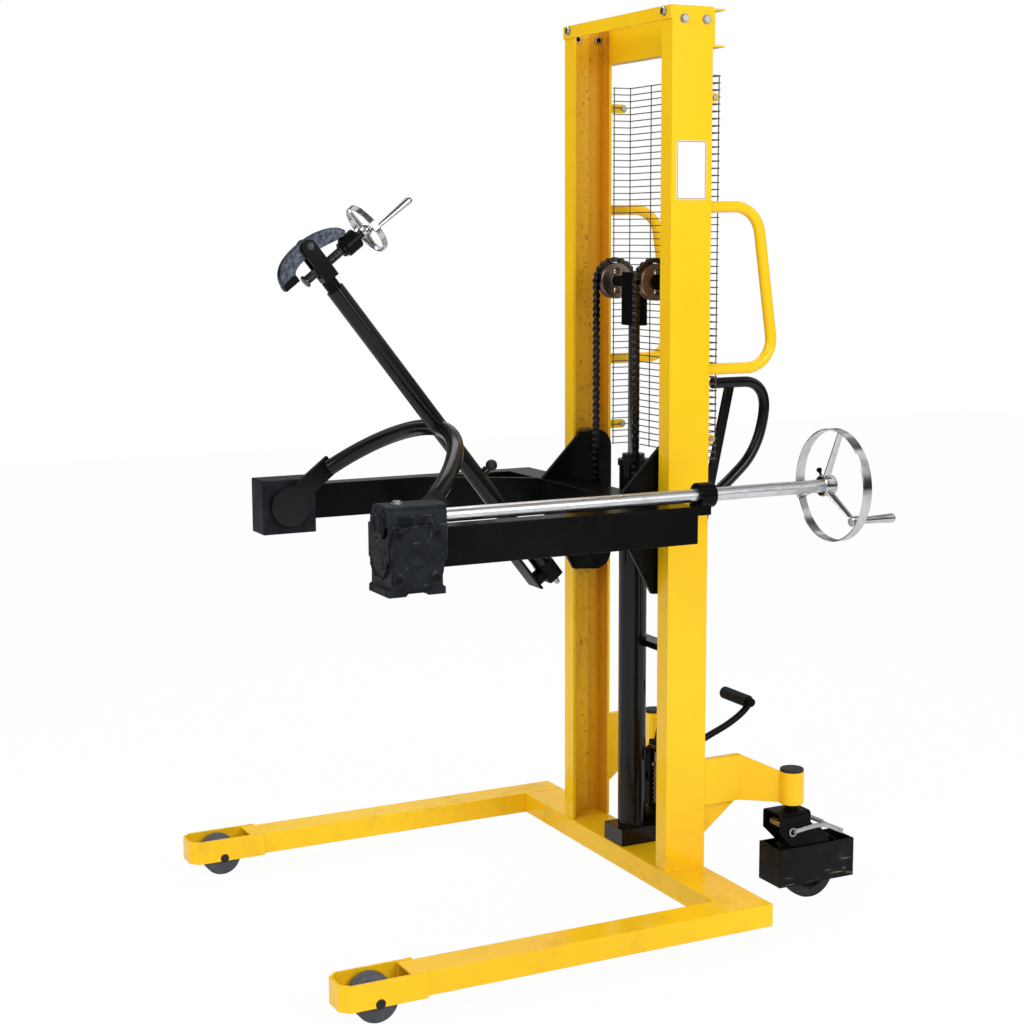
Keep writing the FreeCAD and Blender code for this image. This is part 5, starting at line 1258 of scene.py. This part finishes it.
def strip_spokes(centre, angles, inner, outer, width, plate):
    """Flat strips that taper outward, flat side along Y: each runs straight from inner to outer,
    which are (radius, step along Y) from the centre."""
    share = np.linspace(0, 1, 7)
    shapes = []
    for angle in np.radians(angles):
        out = np.array([math.cos(angle), 0, math.sin(angle)])
        start, end = (np.array(centre) + (0, step, 0) + radius * out for radius, step in (inner, outer))
        path = start + share[:, None] * (end - start)
        shapes.append(sweep(path, rounded_box(plate, width, plate * 0.45), (0, 1, 0), scale=1 - 0.22 * share))
    return shapes


WHEEL_X, WHEEL_Z = 0.365, 0.962
WHEEL_PLANE = 0.567
GRIP_X, GRIP_Z = 0.445, 0.892


def handwheel():
    """Hoop, dished spokes, hub with its set screw, and the crank grip's lug and bar."""
    centre = (WHEEL_X, WHEEL_PLANE, WHEEL_Z)
    shapes = [band("y", centre, 0.125, 3.6 * MM, 12 * MM)]
    hub = [(-0.033, 0.0146), (-0.033, 0.0215), (-0.031, 0.0235), (-0.020, 0.0240), (-0.012, 0.0232),
           (-0.003, 0.0215), (-0.001, 0.0190), (0.000, 0.0130), (0.000, 0.0)]
    shapes.append(lathe([(-0.033, 0.0), *hub], "y", centre, 40))
    shapes += strip_spokes(centre, (79, -41, 199), (0.017, -0.021), (0.1225, 0.001), 19 * MM, 4.4 * MM)
    lug = [(-0.011, 0), (-0.011, 0.0095), (-0.009, 0.0115), (0.009, 0.0115), (0.011, 0.0095), (0.011, 0)]
    shapes.append(lathe(lug, "y", (GRIP_X, WHEEL_PLANE, GRIP_Z), 28))
    shapes.append(rod(0.0049, 0, 0.097, "y", (GRIP_X, WHEEL_PLANE, GRIP_Z), 16))
    make_piece("handwheel_band_and_spokes", shapes, chrome, "hand_shaft", ("handwheel",), smooth=42)
    aim = unit([-0.55, 0.0, 0.84])
    screw_axes = np.array([aim, [0, 1, 0], np.cross(aim, [0, 1, 0])])
    screw = [(0.018, 0), (0.018, 0.0028), (0.0345, 0.0028), (0.0345, 0.0050), (0.0365, 0.0060),
             (0.0410, 0.0060), (0.0425, 0.0050), (0.0425, 0)]
    make_piece("handwheel_set_screw", [lathe(screw, screw_axes, (WHEEL_X, 0.5445, WHEEL_Z), 20)], black,
               "hand_shaft", smooth=35)


def crank_grip():
    """Tapered rod that is thickest near its free end."""
    grip = [(0.0, 0.0), (0.0, 0.0070), (0.002, 0.0076), (0.020, 0.0078), (0.060, 0.0092), (0.086, 0.0104),
            (0.0900, 0.0102), (0.0918, 0.0088), (0.0925, 0.0)]
    make_piece("crank_grip_rod", [lathe(grip, "y", (GRIP_X, 0.5795, GRIP_Z), 32)], chrome, "crank_grip",
               ("crank_grip",), smooth=40)


handwheel()
crank_grip()
grip_low, grip_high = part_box("crank_grip")
print("crank", [round(v, 4) for v in (*grip_low, *grip_high)])

# %% [markdown]
# The holder is laid out about its trunnions and then tilted, so its pieces are worked out
# upright, in across, outward and along, and turned together by one matrix. The clamp screw has
# a real thread: its radius rises and falls with the distance along less the angle, which makes
# the crests wind round it.

# %% Clamp screw
TILT = math.radians(38)
HOLDER_TURN = np.array([[1, 0, 0], [0, math.cos(TILT), -math.sin(TILT)], [0, math.sin(TILT), math.cos(TILT)]])
TRUNNION = (-0.456, 0.899)
HOLDER_PLACE = (0, *TRUNNION)
SCREW_LEVEL = 0.447


def in_holder(shape):
    """Turn a shape from the holder's own directions to its tilt."""
    return placed(shape, HOLDER_TURN, HOLDER_PLACE)


def threaded(start, end, outer, depth, pitch, centre, sides):
    """Screw along Y: radius = outer - depth (1 + w) / 2, where w is 1.7 sin(2 pi along / pitch
    - angle), cut off at -1 and 1 so that the thread has flat crests and roots."""
    along = np.linspace(start, end, int((end - start) / pitch * 8))
    turn = np.linspace(0, 2 * np.pi, sides, endpoint=False)
    phase = 2 * np.pi * along[:, None] / pitch - turn[None, :]
    radius = outer - depth * (0.5 + 0.5 * np.clip(1.7 * np.sin(phase), -1, 1))
    points = np.stack([radius * np.sin(turn), np.broadcast_to(along[:, None], radius.shape),
                       radius * np.cos(turn)], -1).reshape(-1, 3) + np.asarray(centre, float)
    faces = grid_faces(len(along), sides, False, True)
    total = len(points)
    return points, faces + [list(range(sides)), list(range(total - sides, total))]


def clamp_screw():
    """Threaded bar with its pad, and a small hand wheel with its crank."""
    level, plane = SCREW_LEVEL, 0.444
    pad = [(0, 0), (0, 0.0120), (0.0015, 0.0138), (0.0050, 0.0138), (0.0062, 0.0110), (0.0062, 0)]
    dull = [threaded(0.270, 0.428, 10 * MM, 1.5 * MM, 3.0 * MM, (0, 0, level), 24),
            lathe(pad, "y", (0, 0.264, level), 32)]
    hub = [(-0.0170, 0), (-0.0170, 0.0120), (-0.0155, 0.0135), (-0.0040, 0.0150), (0.0030, 0.0125),
           (0.0060, 0.0090), (0.0068, 0)]
    bright = [band("y", (0, plane, level), 0.057, 2.4 * MM, 6.8 * MM), lathe(hub, "y", (0, plane, level), 32)]
    bright += strip_spokes((0, plane, level), (0, 120, 240), (0.010, -0.006), (0.0555, 0), 11 * MM, 3.4 * MM)
    crank = [(-0.006, 0), (-0.006, 0.0050), (-0.002, 0.0060), (0.004, 0.0044), (0.030, 0.0052),
             (0.070, 0.0068), (0.094, 0.0078), (0.0985, 0.0074), (0.1008, 0.0050), (0.1010, 0)]
    bright.append(lathe(crank, "y", (0.050, plane, level), 28))
    bright, dull = ([in_holder(shape) for shape in shapes] for shapes in (bright, dull))
    make_piece("clamp_wheel_bright", bright, chrome, "clamp_screw", ("clamp_screw",), smooth=42)
    make_piece("clamp_screw_thread", dull, chain_steel, "clamp_screw", smooth=50)


clamp_screw()
print("clamp screw made")

# %% [markdown]
# The foot pedal's arm is a bent bar with a ribbed rubber sleeve. The brake pedal is two bent
# bars with a ribbed tread between them. A black cap closes each castor's sleeve. Both bars are
# sweeps along a smooth curve, and the sleeve and the cap are lathes.

# %% Pedals and caps
PEDAL_END = (0.564, 0.402)


def foot_pedal():
    """Bent arm on a hub, with a sleeve whose radius is notched 22 times along."""
    arm_x = 0.060
    route = [(0.370, 0.2955), (0.405, 0.3165), (0.448, 0.3350), (0.500, 0.3560), (0.540, 0.3790),
             (0.564, 0.4020)]
    path = smooth_path([(arm_x, y, z) for y, z in route])
    hub = [(0.0240, 0.0081), (0.0240, 0.0150), (0.0250, 0.0160), (0.0670, 0.0160), (0.0680, 0.0150),
           (0.0680, 0.0081)]
    knuckle = [(0.0500, 0), (0.0500, 0.0085), (0.0520, 0.0105), (0.0660, 0.0105), (0.0680, 0.0085),
               (0.0680, 0)]
    shapes = [sweep(path, circle(0.0080, 20)), lathe(hub, "x", (0, 0.357, 0.285), 40, closed=True),
              lathe(knuckle, "x", (0, *PEDAL_END), 28)]
    make_piece("foot_pedal_arm", shapes, black, "foot_pedal", ("foot_pedal",), smooth=38)
    along = np.linspace(-0.0550, 0.0500, 133)
    share = (along - along[0]) / (along[-1] - along[0])
    ribs = 1 - 0.06 * (np.sin(share * 2 * np.pi * 22) > 0.35)
    ends = np.where(share < 0.04, np.sqrt(np.clip(1 - (1 - share / 0.04) ** 2, 0.25, 1)), 1)
    sleeve = np.column_stack([along, 0.0150 * ribs * ends])
    sleeve = np.concatenate([[[along[0], 0]], sleeve, [[along[-1], 0]]])
    make_piece("foot_pedal_sleeve", [lathe(sleeve, "x", (0, *PEDAL_END), 32)], grip_rubber, "foot_pedal",
               smooth=35)


def brake_pedals():
    """Two bent bars with eyes round the fork's pin, and a tread with eight ribs between them."""
    bend = smooth_path([(0.4960, 0.1722), (0.5150, 0.1745), (0.5450, 0.1775), (0.5700, 0.1778),
                        (0.5900, 0.1738), (0.6100, 0.1648), (0.6320, 0.1540)], 5)
    bar_shape = rounded_box(0.0110, 0.0050, 0.0022, 4)
    for sign, side in SIDES:
        middle = sign * CASTOR_X
        shapes = []
        for way in (-1, 1):
            path = np.column_stack([np.full(len(bend), middle + way * 0.0379), bend])
            shapes.append(sweep(path, bar_shape, across=(1, 0, 0)))
            eye = [(way * 0.0354, 0.0054), (way * 0.0354, 0.0098), (way * 0.0360, 0.0104),
                   (way * 0.0396, 0.0104), (way * 0.0402, 0.0098), (way * 0.0402, 0.0054)]
            shapes.append(lathe(eye, "x", (middle, *BRAKE_PIN), 32, closed=True))
        slope = np.array([[1, 0, 0], [0, 0.9200, 0.3919], [0, -0.3919, 0.9200]])
        tread = rounded_box(0.0790, 0.0270, 0.0030, 4)
        place = (middle, 0.6195, 0.1598)
        shapes.append(placed(slab(tread, "z", -0.0020, 0.0020), slope, place))
        for across in np.linspace(-0.0105, 0.0105, 8):
            rib = sweep([(-0.0370, across, 0.0022), (0.0370, across, 0.0022)], circle(0.0011, 8),
                        across=(0, 0, 1))
            shapes.append(placed(rib, slope, place))
        node = f"{side}_brake_pedal"
        make_piece(f"{side}_pedal_lever", shapes, zinc, frame["nodes"][node]["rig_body"],
                   (node,), bevel=0.5, smooth=40)


def sleeve_caps():
    """Sleeve's outer wall with its chamfers, and a low domed cap on top of it."""
    cap = [(0, 0), (0, 0.0262), (0.0018, 0.0272), (0.0042, 0.0272), (0.0062, 0.0258), (0.0074, 0.0210),
           (0.0078, 0.0100), (0.0078, 0)]
    wall = [(0.2278, 0.0215), (0.2278, 0.0268), (0.2290, 0.0280), (0.3020, 0.0280), (0.3032, 0.0268),
            (0.3032, 0.0215)]
    places = [(sign * CASTOR_X, CASTOR_PIVOT_Y) for sign in (-1, 1)]
    sleeves = [lathe(wall, "z", (x, y, 0), 48, closed=True) for x, y in places]
    caps = [lathe(cap, "z", (x, y, 0.3032), 40) for x, y in places]
    make_piece("castor_sleeves", sleeves, yellow, "chassis", smooth=40)
    make_piece("sleeve_caps", caps, black_plastic, "chassis", smooth=40)


foot_pedal()
brake_pedals()
sleeve_caps()
print("pedals and caps made")

# %% [markdown]
# The worm box is a rough casting: a squarish case on two feet, a ribbed casing for the worm
# above it, a round bolted flange in front, and a cover whose ribs run from a middle boss to
# four screws. Simple shapes overlap here and share one coarse finish, as they do in a casting;
# a wide bevel gives the soft corners that sand moulding leaves.

# %% Worm box
BOX_X = (0.312, 0.414)
WORM_X, FLANGE_Z = 0.365, 0.955
LOWER_RING = (0.3600, 0.8850)
COVER_Z = 0.8925


def socket_screw(axis, centre, way, radius, height):
    """Round-headed screw with a sunk socket: the lathe's outline goes back down inside. Its
    radius and height are in millimetres."""
    r, h = radius * MM, height * MM * way
    outline = [(0, 0), (0, r), (h * 0.85, r), (h, r * 0.88), (h, r * 0.50), (h * 0.35, r * 0.46),
               (h * 0.35, 0)]
    return lathe(outline, axis, centre, 24)


def screw_ring(middle, radius, y, angles, size, height):
    """Small screws at angles round a flange whose middle is (x, z), with their heads forward."""
    return [socket_screw("y", (middle[0] + radius * math.cos(turn), y, middle[1] + radius * math.sin(turn)),
                         -1, size, height) for turn in np.radians(angles)]


def worm_box():
    """Case on two feet, ribbed casing for the worm, and the flange and ring in front."""
    y = TRUNNION[0]
    case = np.array([(y + 0.055, 0.878), (y + 0.055, 0.832), (y + 0.061, 0.828), (y + 0.061, 0.814),
                     (y + 0.024, 0.814), (y + 0.019, 0.8195), (y - 0.019, 0.8195), (y - 0.024, 0.814),
                     (y - 0.061, 0.814), (y - 0.061, 0.828), (y - 0.055, 0.832), (y - 0.055, 0.878),
                     (y - 0.061, 0.884), (y - 0.061, 0.952), (y + 0.066, 0.952), (y + 0.066, 0.884)])
    shapes = [slab(case, "x", BOX_X[0], BOX_X[1] - 0.001)]
    casing = rounded_box(0.080, 0.066, 0.020, 6)
    path = [(0.3710, -0.5170, 0.9600), (0.3710, -0.3903, 0.9600)]
    shapes.append(sweep(path, casing[:, ::-1], across=(1, 0, 0)))
    for row in np.linspace(0.9375, 0.9705, 6):
        for start, end in ((-0.4925, -0.4645), (-0.4435, -0.4170)):
            shapes.append(sweep([(0.4105, start, row), (0.4105, end, row)],
                                rounded_box(0.0034, 0.0085, 0.0012, 2), across=(1, 0, 0)))
    boss = [(0, 0), (0, 0.0115), (0.0020, 0.0105), (0.0028, 0.0095), (0.0028, 0.0060), (0.0008, 0.0056),
            (0.0008, 0)]
    shapes.append(lathe(boss, "x", (0.4105, -0.4540, 0.9560), 28))
    flange = [(0.0040, 0), (0.0040, 0.0140), (-0.0005, 0.0165), (-0.0005, 0.0215), (0.0030, 0.0235),
              (0.0030, 0.0320), (0.0045, 0.0338), (0.0110, 0.0338), (0.0125, 0.0325), (0.0125, 0)]
    shapes.append(lathe(flange, "y", (WORM_X, -0.5245, FLANGE_Z), 56))
    lower_ring = [(-0.0010, 0), (-0.0010, 0.0240), (0.0015, 0.0260), (0.0015, 0.0330), (-0.0010, 0.0350),
                  (-0.0010, 0.0410), (0.0040, 0.0420), (0.0060, 0)]
    shapes.append(lathe(lower_ring, "y", (LOWER_RING[0], -0.5165, LOWER_RING[1]), 48))
    return make_piece("worm_box_case", shapes, casting, "carriage", ("gearbox_housing",),
                      bevel=2.2, smooth=40)


def worm_box_cover():
    """Plate with a rounded outline, |y / 57|^3.6 + |z / 62|^3.6 = 1 in millimetres, with a rim, a
    boss, and four lobes on ribs; then every screw of the worm box."""
    y, z = TRUNNION[0], COVER_Z
    face = 0.4130
    turn = np.radians(np.arange(0, 360, 5.0))
    bulge = 2 / 3.6
    outline = np.column_stack([0.0570 * np.sign(np.cos(turn)) * np.abs(np.cos(turn)) ** bulge,
                               0.0620 * np.sign(np.sin(turn)) * np.abs(np.sin(turn)) ** bulge])
    shapes = [slab(outline + (y, z), "x", face - 0.001, face + 0.0035)]
    rim = np.column_stack([np.full(len(outline), face + 0.0036), 0.955 * outline + (y, z)])
    shapes.append(sweep(rim, rounded_box(0.0036, 0.0040, 0.0012, 2), across=(1, 0, 0), closed=True))
    shapes.append(lathe([(0, 0), (0, 0.0255), (0.0050, 0.0245), (0.0064, 0.0230), (0.0064, 0.0185),
                         (0.0054, 0.0165), (0.0054, 0)], "x", (face, TRUNNION[0], TRUNNION[1] - 0.004), 40))
    screws = []
    for sy, sz in ((-1, -1), (-1, 1), (1, -1), (1, 1)):
        shapes.append(lathe([(0, 0), (0, 0.0118), (0.0050, 0.0112), (0.0062, 0.0098), (0.0062, 0)], "x",
                            (face, y + sy * 0.0405, z + sz * 0.0440), 28))
        start = (face + 0.0034, y + sy * 0.015, z + sz * 0.0165)
        end = (face + 0.0034, y + sy * 0.0365, z + sz * 0.0400)
        shapes.append(sweep([start, end], rounded_box(0.0060, 0.0040, 0.0014, 2), across=(1, 0, 0)))
        screws.append(socket_screw("x", (face + 0.0046, y + sy * 0.0405, z + sz * 0.0440), 1, 6.4, 3.6))
    make_piece("worm_box_cover_plate", shapes, casting, "carriage", ("gearbox_cover",),
               bevel=0.9, smooth=40)
    screws += screw_ring((WORM_X, FLANGE_Z), 0.0278, -0.5214, np.arange(30, 390, 60), 2.9, 1.4)
    screws += screw_ring(LOWER_RING, 0.0378, -0.5170, np.arange(22.5, 382.5, 45), 2.6, 1.6)
    screws += [socket_screw("y", (x, -0.5165, 0.8215), -1, 3.6, 1.6) for x in (0.325, 0.400)]
    make_piece("worm_box_screws", screws, black, "carriage", smooth=32)


def vent_plug():
    """Bright filler plug: a washer and a low domed head on the casing."""
    place = (0.3800, -0.4840, 0.9925)
    top = [(0.0016, 0), (0.0016, 0.0085), (0.0058, 0.0088), (0.0070, 0.0078), (0.0076, 0.0045), (0.0076, 0)]
    shapes = [washer(0.0112, 0.0018, "z", place, 1), lathe(top, "z", place, 32)]
    make_piece("vent_plug", shapes, zinc, "carriage", smooth=30)


worm_box()
worm_box_cover()
vent_plug()
box_low, box_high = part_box("gearbox_housing")
print("worm box", [round(v, 4) for v in (*box_low, *box_high)])

# %% [markdown]
# The blank plate on the mast is thin enamelled sheet with a coloured line round it. The line is
# a mask on Object coordinates: the distance in from the plate's nearest edge.

# %% Blank plate
PLATE_Y = (0.2340, 0.3085)
PLATE_Z = (1.5830, 1.7080)
PLATE_WHITE, PLATE_GRIME, PLATE_LINE = (0.83, 0.82, 0.79), (0.62, 0.58, 0.48), (0.42, 0.085, 0.045)


def plate_finish():
    """White enamel with a line between 1.2 and 3.2 mm in from the nearest edge."""
    material, tree, shader, place = start_material("plate_enamel")
    y, z = split(tree, place)[1:]
    margins = [sums(tree, "SUBTRACT", high, low) for low, high in (
        (PLATE_Y[0], y), (y, PLATE_Y[1]), (PLATE_Z[0], z), (z, PLATE_Z[1]))]
    nearest = sums(tree, "MINIMUM", sums(tree, "MINIMUM", margins[0], margins[1]),
                   sums(tree, "MINIMUM", margins[2], margins[3]))
    line = within(tree, nearest, 1.2 * MM, 3.2 * MM, 0.2 * MM)
    grime = ramp(tree, noise(tree, place, 34.0, 5.0, 0.6), 0.52, 0.78)
    colour = tint(tree, times(tree, grime, 0.25), PLATE_WHITE, PLATE_GRIME)
    join(tree, tint(tree, times(tree, line, 0.85), colour, PLATE_LINE), shader.inputs["Base Color"])
    join(tree, ramp(tree, grime, 0, 1, 0.28, 0.45), shader.inputs["Roughness"])
    add_bump(tree, shader, noise(tree, place, 90.0, 2.0), 0.06, 0.5 * MM)
    return material


def blank_plate():
    """Thin slab with round corners against the mast's face."""
    middle = ((PLATE_Y[0] + PLATE_Y[1]) / 2, (PLATE_Z[0] + PLATE_Z[1]) / 2)
    outline = rounded_box(PLATE_Y[1] - PLATE_Y[0], PLATE_Z[1] - PLATE_Z[0], 0.003, 4) + middle
    make_piece("blank_plate", [slab(outline, "x", MAST_FACE - 0.0002, MAST_FACE + 0.0008)], plate_finish(),
               "chassis", smooth=35)


blank_plate()
print("plate made")

# %% [markdown]
# The jaw is a forged hook. Its outer and inner lines are two smooth curves through a few points,
# which meet at the tip and at the tail; a slab gives them their thickness and a wide bevel the
# soft corners of a forging. The nut barrel at its tail is turned, with a smaller collar.

# %% Clamp jaw
def clamp_jaw():
    """Hook between two smooth curves, nut barrel and tip cover, and the pivot's two heads."""
    outer = smooth_path([(0.401, 0.4765), (0.389, 0.4930), (0.362, 0.5070), (0.327, 0.5157), (0.285, 0.5168),
                         (0.252, 0.5105), (0.231, 0.4970), (0.2210, 0.4790), (0.2195, 0.4610)], 6)
    inner = smooth_path([(0.2545, 0.4590), (0.2560, 0.4720), (0.2700, 0.4815), (0.3000, 0.4845),
                         (0.3350, 0.4810), (0.3670, 0.4735), (0.3930, 0.4675)], 6)
    hook = in_holder(slab(np.concatenate([outer, inner]), "x", -0.0098, 0.0098))
    body = frame["nodes"]["clamp_jaw"]["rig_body"]
    make_piece("clamp_jaw_hook", [hook], forging, body, ("clamp_jaw",), bevel=2.2, smooth=38)
    barrel = [(0.3690, 0.0105), (0.3690, 0.0150), (0.3705, 0.0166), (0.3775, 0.0166), (0.3785, 0.0205),
              (0.3800, 0.0220), (0.4125, 0.0220), (0.4140, 0.0208), (0.4150, 0.0170), (0.4160, 0.0160),
              (0.4160, 0.0105)]
    tip = [(0.2190, 0.4580), (0.2560, 0.4580), (0.2565, 0.4730), (0.2480, 0.4755), (0.2260, 0.4735),
           (0.2190, 0.4700)]
    cover = [in_holder(lathe(barrel, "y", (0, 0, SCREW_LEVEL), 48, closed=True)),
             in_holder(slab(tip, "x", -0.0108, 0.0108))]
    make_piece("clamp_jaw_fittings", cover, black, body, bevel=0.8, smooth=38)
    head = np.array([(0, 0), (0, 0.0088), (0.0012, 0.0088), (0.0026, 0.0072), (0.0030, 0.0040), (0.0030, 0)])
    heads = [in_holder(lathe(head * (sign, 1), "x", (sign * 0.0189, 0.317, 0.501), 28)) for sign in (-1, 1)]
    make_piece("jaw_pivot_heads", heads, forging, frame["nodes"]["clamp_link"]["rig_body"],
               smooth=38)


clamp_jaw()
print("jaw made")

# %% [markdown]
# At the spine's foot a block is clamped round the tube. Two bars reach forward from it to a
# bent shoe that takes the load's lower edge, and a bright screw tightens the block.

# %% Lower clamp
def lower_clamp():
    """Block, two bars, bent shoe and ear as slabs; the screw is a lathe under a hexagon."""
    body = frame["nodes"]["lower_clamp"]["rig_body"]
    block = rounded_box(0.0440, 0.0400, 0.0060, 5) + (0, 0.311)
    shapes = [slab(block, "z", -0.443, -0.398)]
    bars = rounded_box(0.0100, 0.0220, 0.0025, 3)
    for x in (-0.0140, 0.0140):
        shapes.append(slab(bars + (x, 0.283), "z", -0.428, -0.408))
    bend = [(0.2620, -0.4300), (0.2650, -0.4335), (0.2685, -0.4340), (0.2690, -0.4300), (0.2682, -0.3350),
            (0.2670, -0.3310), (0.2640, -0.3300), (0.2620, -0.3340)]
    shapes.append(slab(bend, "x", -0.030, 0.030))
    ear = rounded_box(0.0220, 0.0280, 0.0080, 5) + (0.318, -0.4300)
    shapes.append(slab(ear, "x", -0.0130, 0.0130))
    shapes = [in_holder(shape) for shape in shapes]
    make_piece("lower_clamp_block", shapes, black, body, ("lower_clamp",), bevel=1.4,
               smooth=38)
    stem = [(-0.4430, 0), (-0.4430, 0.0088), (-0.4445, 0.0095), (-0.4455, 0.0060), (-0.4620, 0.0056),
            (-0.4630, 0.0046), (-0.4630, 0)]
    screw = [in_holder(lathe(stem, "z", (0, 0.312, 0), 28)),
             in_holder(hex_head(0.0078, 0.0070, "z", (0, 0.312, -0.4500), -1))]
    make_piece("lower_clamp_screw", screw, zinc, body, smooth=32)


lower_clamp()
print("lower clamp made")

# %% [markdown]
# The tiller is a flat bar with a bent-tube loop. The loop bends all the way round, with no long
# straight, so its route is a smooth curve through points that stand closer where it bends more.

# %% Tiller
def tiller():
    """Tube carried along a smooth loop, flat bar, and the hub it swings on."""
    route = smooth_path([(0, 0.484, 1.165), (0, 0.545, 1.1652), (0, 0.592, 1.1630), (0, 0.620, 1.1440),
                         (0, 0.6310, 1.112), (0, 0.6270, 1.070), (0, 0.6120, 1.022), (0, 0.5860, 0.980),
                         (0, 0.5500, 0.946), (0, 0.5120, 0.916), (0, 0.472, 0.888)], 7)
    bar = [(0.333, 0.310), (0.355, 0.310), (0.545, 1.165), (0.5435, 1.171), (0.538, 1.174), (0.526, 1.172),
           (0.523, 1.165)]
    hub = [(-0.0155, 0.0062), (-0.0155, 0.0130), (-0.0145, 0.0140), (0.0145, 0.0140), (0.0155, 0.0130),
           (0.0155, 0.0062)]
    shapes = [sweep(route, circle(0.0128, 28)), slab(bar, "x", -0.006, 0.006),
              lathe(hub, "x", (0, PUMP_Y, 0.310), 40, closed=True)]
    make_piece("tiller_bar", shapes, gloss_black, "tiller", ("pump_tiller",), bevel=0.8,
               smooth=38)


tiller()
print("tiller made")

# %% [markdown]
# A castor fork is folded from one plate: the crown's corners are round where it turns down into
# the cheeks. A thin mudguard follows the wheel between the cheeks, and a brass-coloured return
# spring for the brake sits in the fork's open front.

# %% Castor forks
def fork_crown(x):
    """Folded plate seen from the front: flat on top, with a quarter circle down into each cheek."""
    corner = (0.0255, 0.2055)
    outer = arc(corner, 0.0095, 0, 90, 7)
    inner = arc(corner, 0.0045, 90, 0, 7)
    right = np.concatenate([[(0.0350, 0.1880)], outer])
    under = np.concatenate([inner, [(0.0300, 0.1880)]])
    fold = np.concatenate([right, (right * (-1, 1))[::-1], (under * (-1, 1))[::-1], under])
    return slab(fold[:, ::-1] + (0, x), "y", 0.4625, 0.5450)


def fork_cheeks(x):
    """Two cheeks seen from the side, each with the brake's pin, the axle's nut and a stop pin."""
    cheek = np.concatenate([[(0.4625, 0.1890), (0.4625, 0.1700)], [(0.5200, 0.1120)],
                            arc((0.5630, 0.0640), 0.0175, 195, 340, 12),
                            smooth_path([(0.5860, 0.0900), (0.5980, 0.1120), (0.5960, 0.1420),
                                         (0.5760, 0.1680), (0.5500, 0.1840), (0.5450, 0.1890)], 4)])
    pin = np.array([(0.0300, 0), (0.0300, 0.0050), (0.0405, 0.0050), (0.0405, 0.0072), (0.0403, 0.0072),
                    (0.0403, 0)])
    nut = np.array([(0.0300, 0), (0.0300, 0.0110), (0.0372, 0.0110), (0.0376, 0.0060), (0.0376, 0)])
    shapes = []
    for way in (-1, 1):
        low, high = sorted((x + way * 0.0300, x + way * 0.0350))
        shapes.append(slab(cheek, "x", low, high))
        shapes.append(lathe(pin * (way, 1), "x", (x, *BRAKE_PIN), 20))
        shapes.append(lathe(nut * (way, 1), "x", (x, *CASTOR_AXLE), 6))
        shapes.append(rod(0.0050, way * 0.0345, way * 0.0380, "x", (x, 0.561, 0.088), 16))
    return shapes


def fork_piece(sign, side):
    """Crown, cheeks, axle, stem and mudguard in one; then the brake's spring and the guard's boss."""
    body = frame["nodes"][f"{side}_castor_fork"]["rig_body"]
    x, (axle_y, axle_z) = sign * CASTOR_X, CASTOR_AXLE
    shapes = [fork_crown(x), *fork_cheeks(x), rod(0.0080, -0.0300, 0.0300, "x", (x, axle_y, axle_z), 24)]
    stem = [(0.2120, 0), (0.2120, 0.0200), (0.2165, 0.0200), (0.2180, 0.0155), (0.2270, 0.0155),
            (0.2275, 0.0119), (0.2990, 0.0119), (0.3000, 0.0105), (0.3000, 0)]
    shapes.append(lathe(stem, "z", (x, CASTOR_PIVOT_Y, 0), 40))
    turn = np.radians(np.linspace(150, 8, 27))
    mudguard = np.column_stack([np.full(len(turn), x), axle_y + 0.0925 * np.cos(turn),
                                axle_z + 0.0925 * np.sin(turn)])
    shapes.append(sweep(mudguard, rounded_box(0.0028, 0.0570, 0.0012, 3), across=(1, 0, 0)))
    make_piece(f"{side}_fork_plate", shapes, black, body, (f"{side}_castor_fork",), bevel=0.9,
               smooth=38)
    wind = np.linspace(0, 2 * np.pi * 8, 8 * 16 + 1)
    coil = np.column_stack([x - 0.022 + 0.044 * wind / wind[-1], 0.4790 + 0.0068 * np.cos(wind),
                            0.1860 + 0.0068 * np.sin(wind)])
    make_piece(f"{side}_brake_spring", [sweep(coil, circle(0.0011, 8))], bronze, body, smooth=50)
    boss = np.array([(0.3440, 0), (0.3440, 0.0090), (0.3456, 0.0086), (0.3459, 0.0070), (0.3459, 0)])
    bosses = [lathe(boss * (sign, 1), "x", (0, 0.600, 0.100), 32)]
    make_piece(f"{side}_guard_boss", bosses, scuffed_black, body, smooth=38)


for sign, side in SIDES:
    fork_piece(sign, side)
print("castor forks made")

# %% [markdown]
# Before the end, the whole object's box is measured again and set beside the box that the
# construction gave, as the growth of each bound in millimetres.

# %% Sizes and finish
visual_low, visual_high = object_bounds()
both = zip((*visual_low, *visual_high), (*cad_low, *cad_high))
print("grew by", [round((visual - cad) / MM, 2) for visual, cad in both])
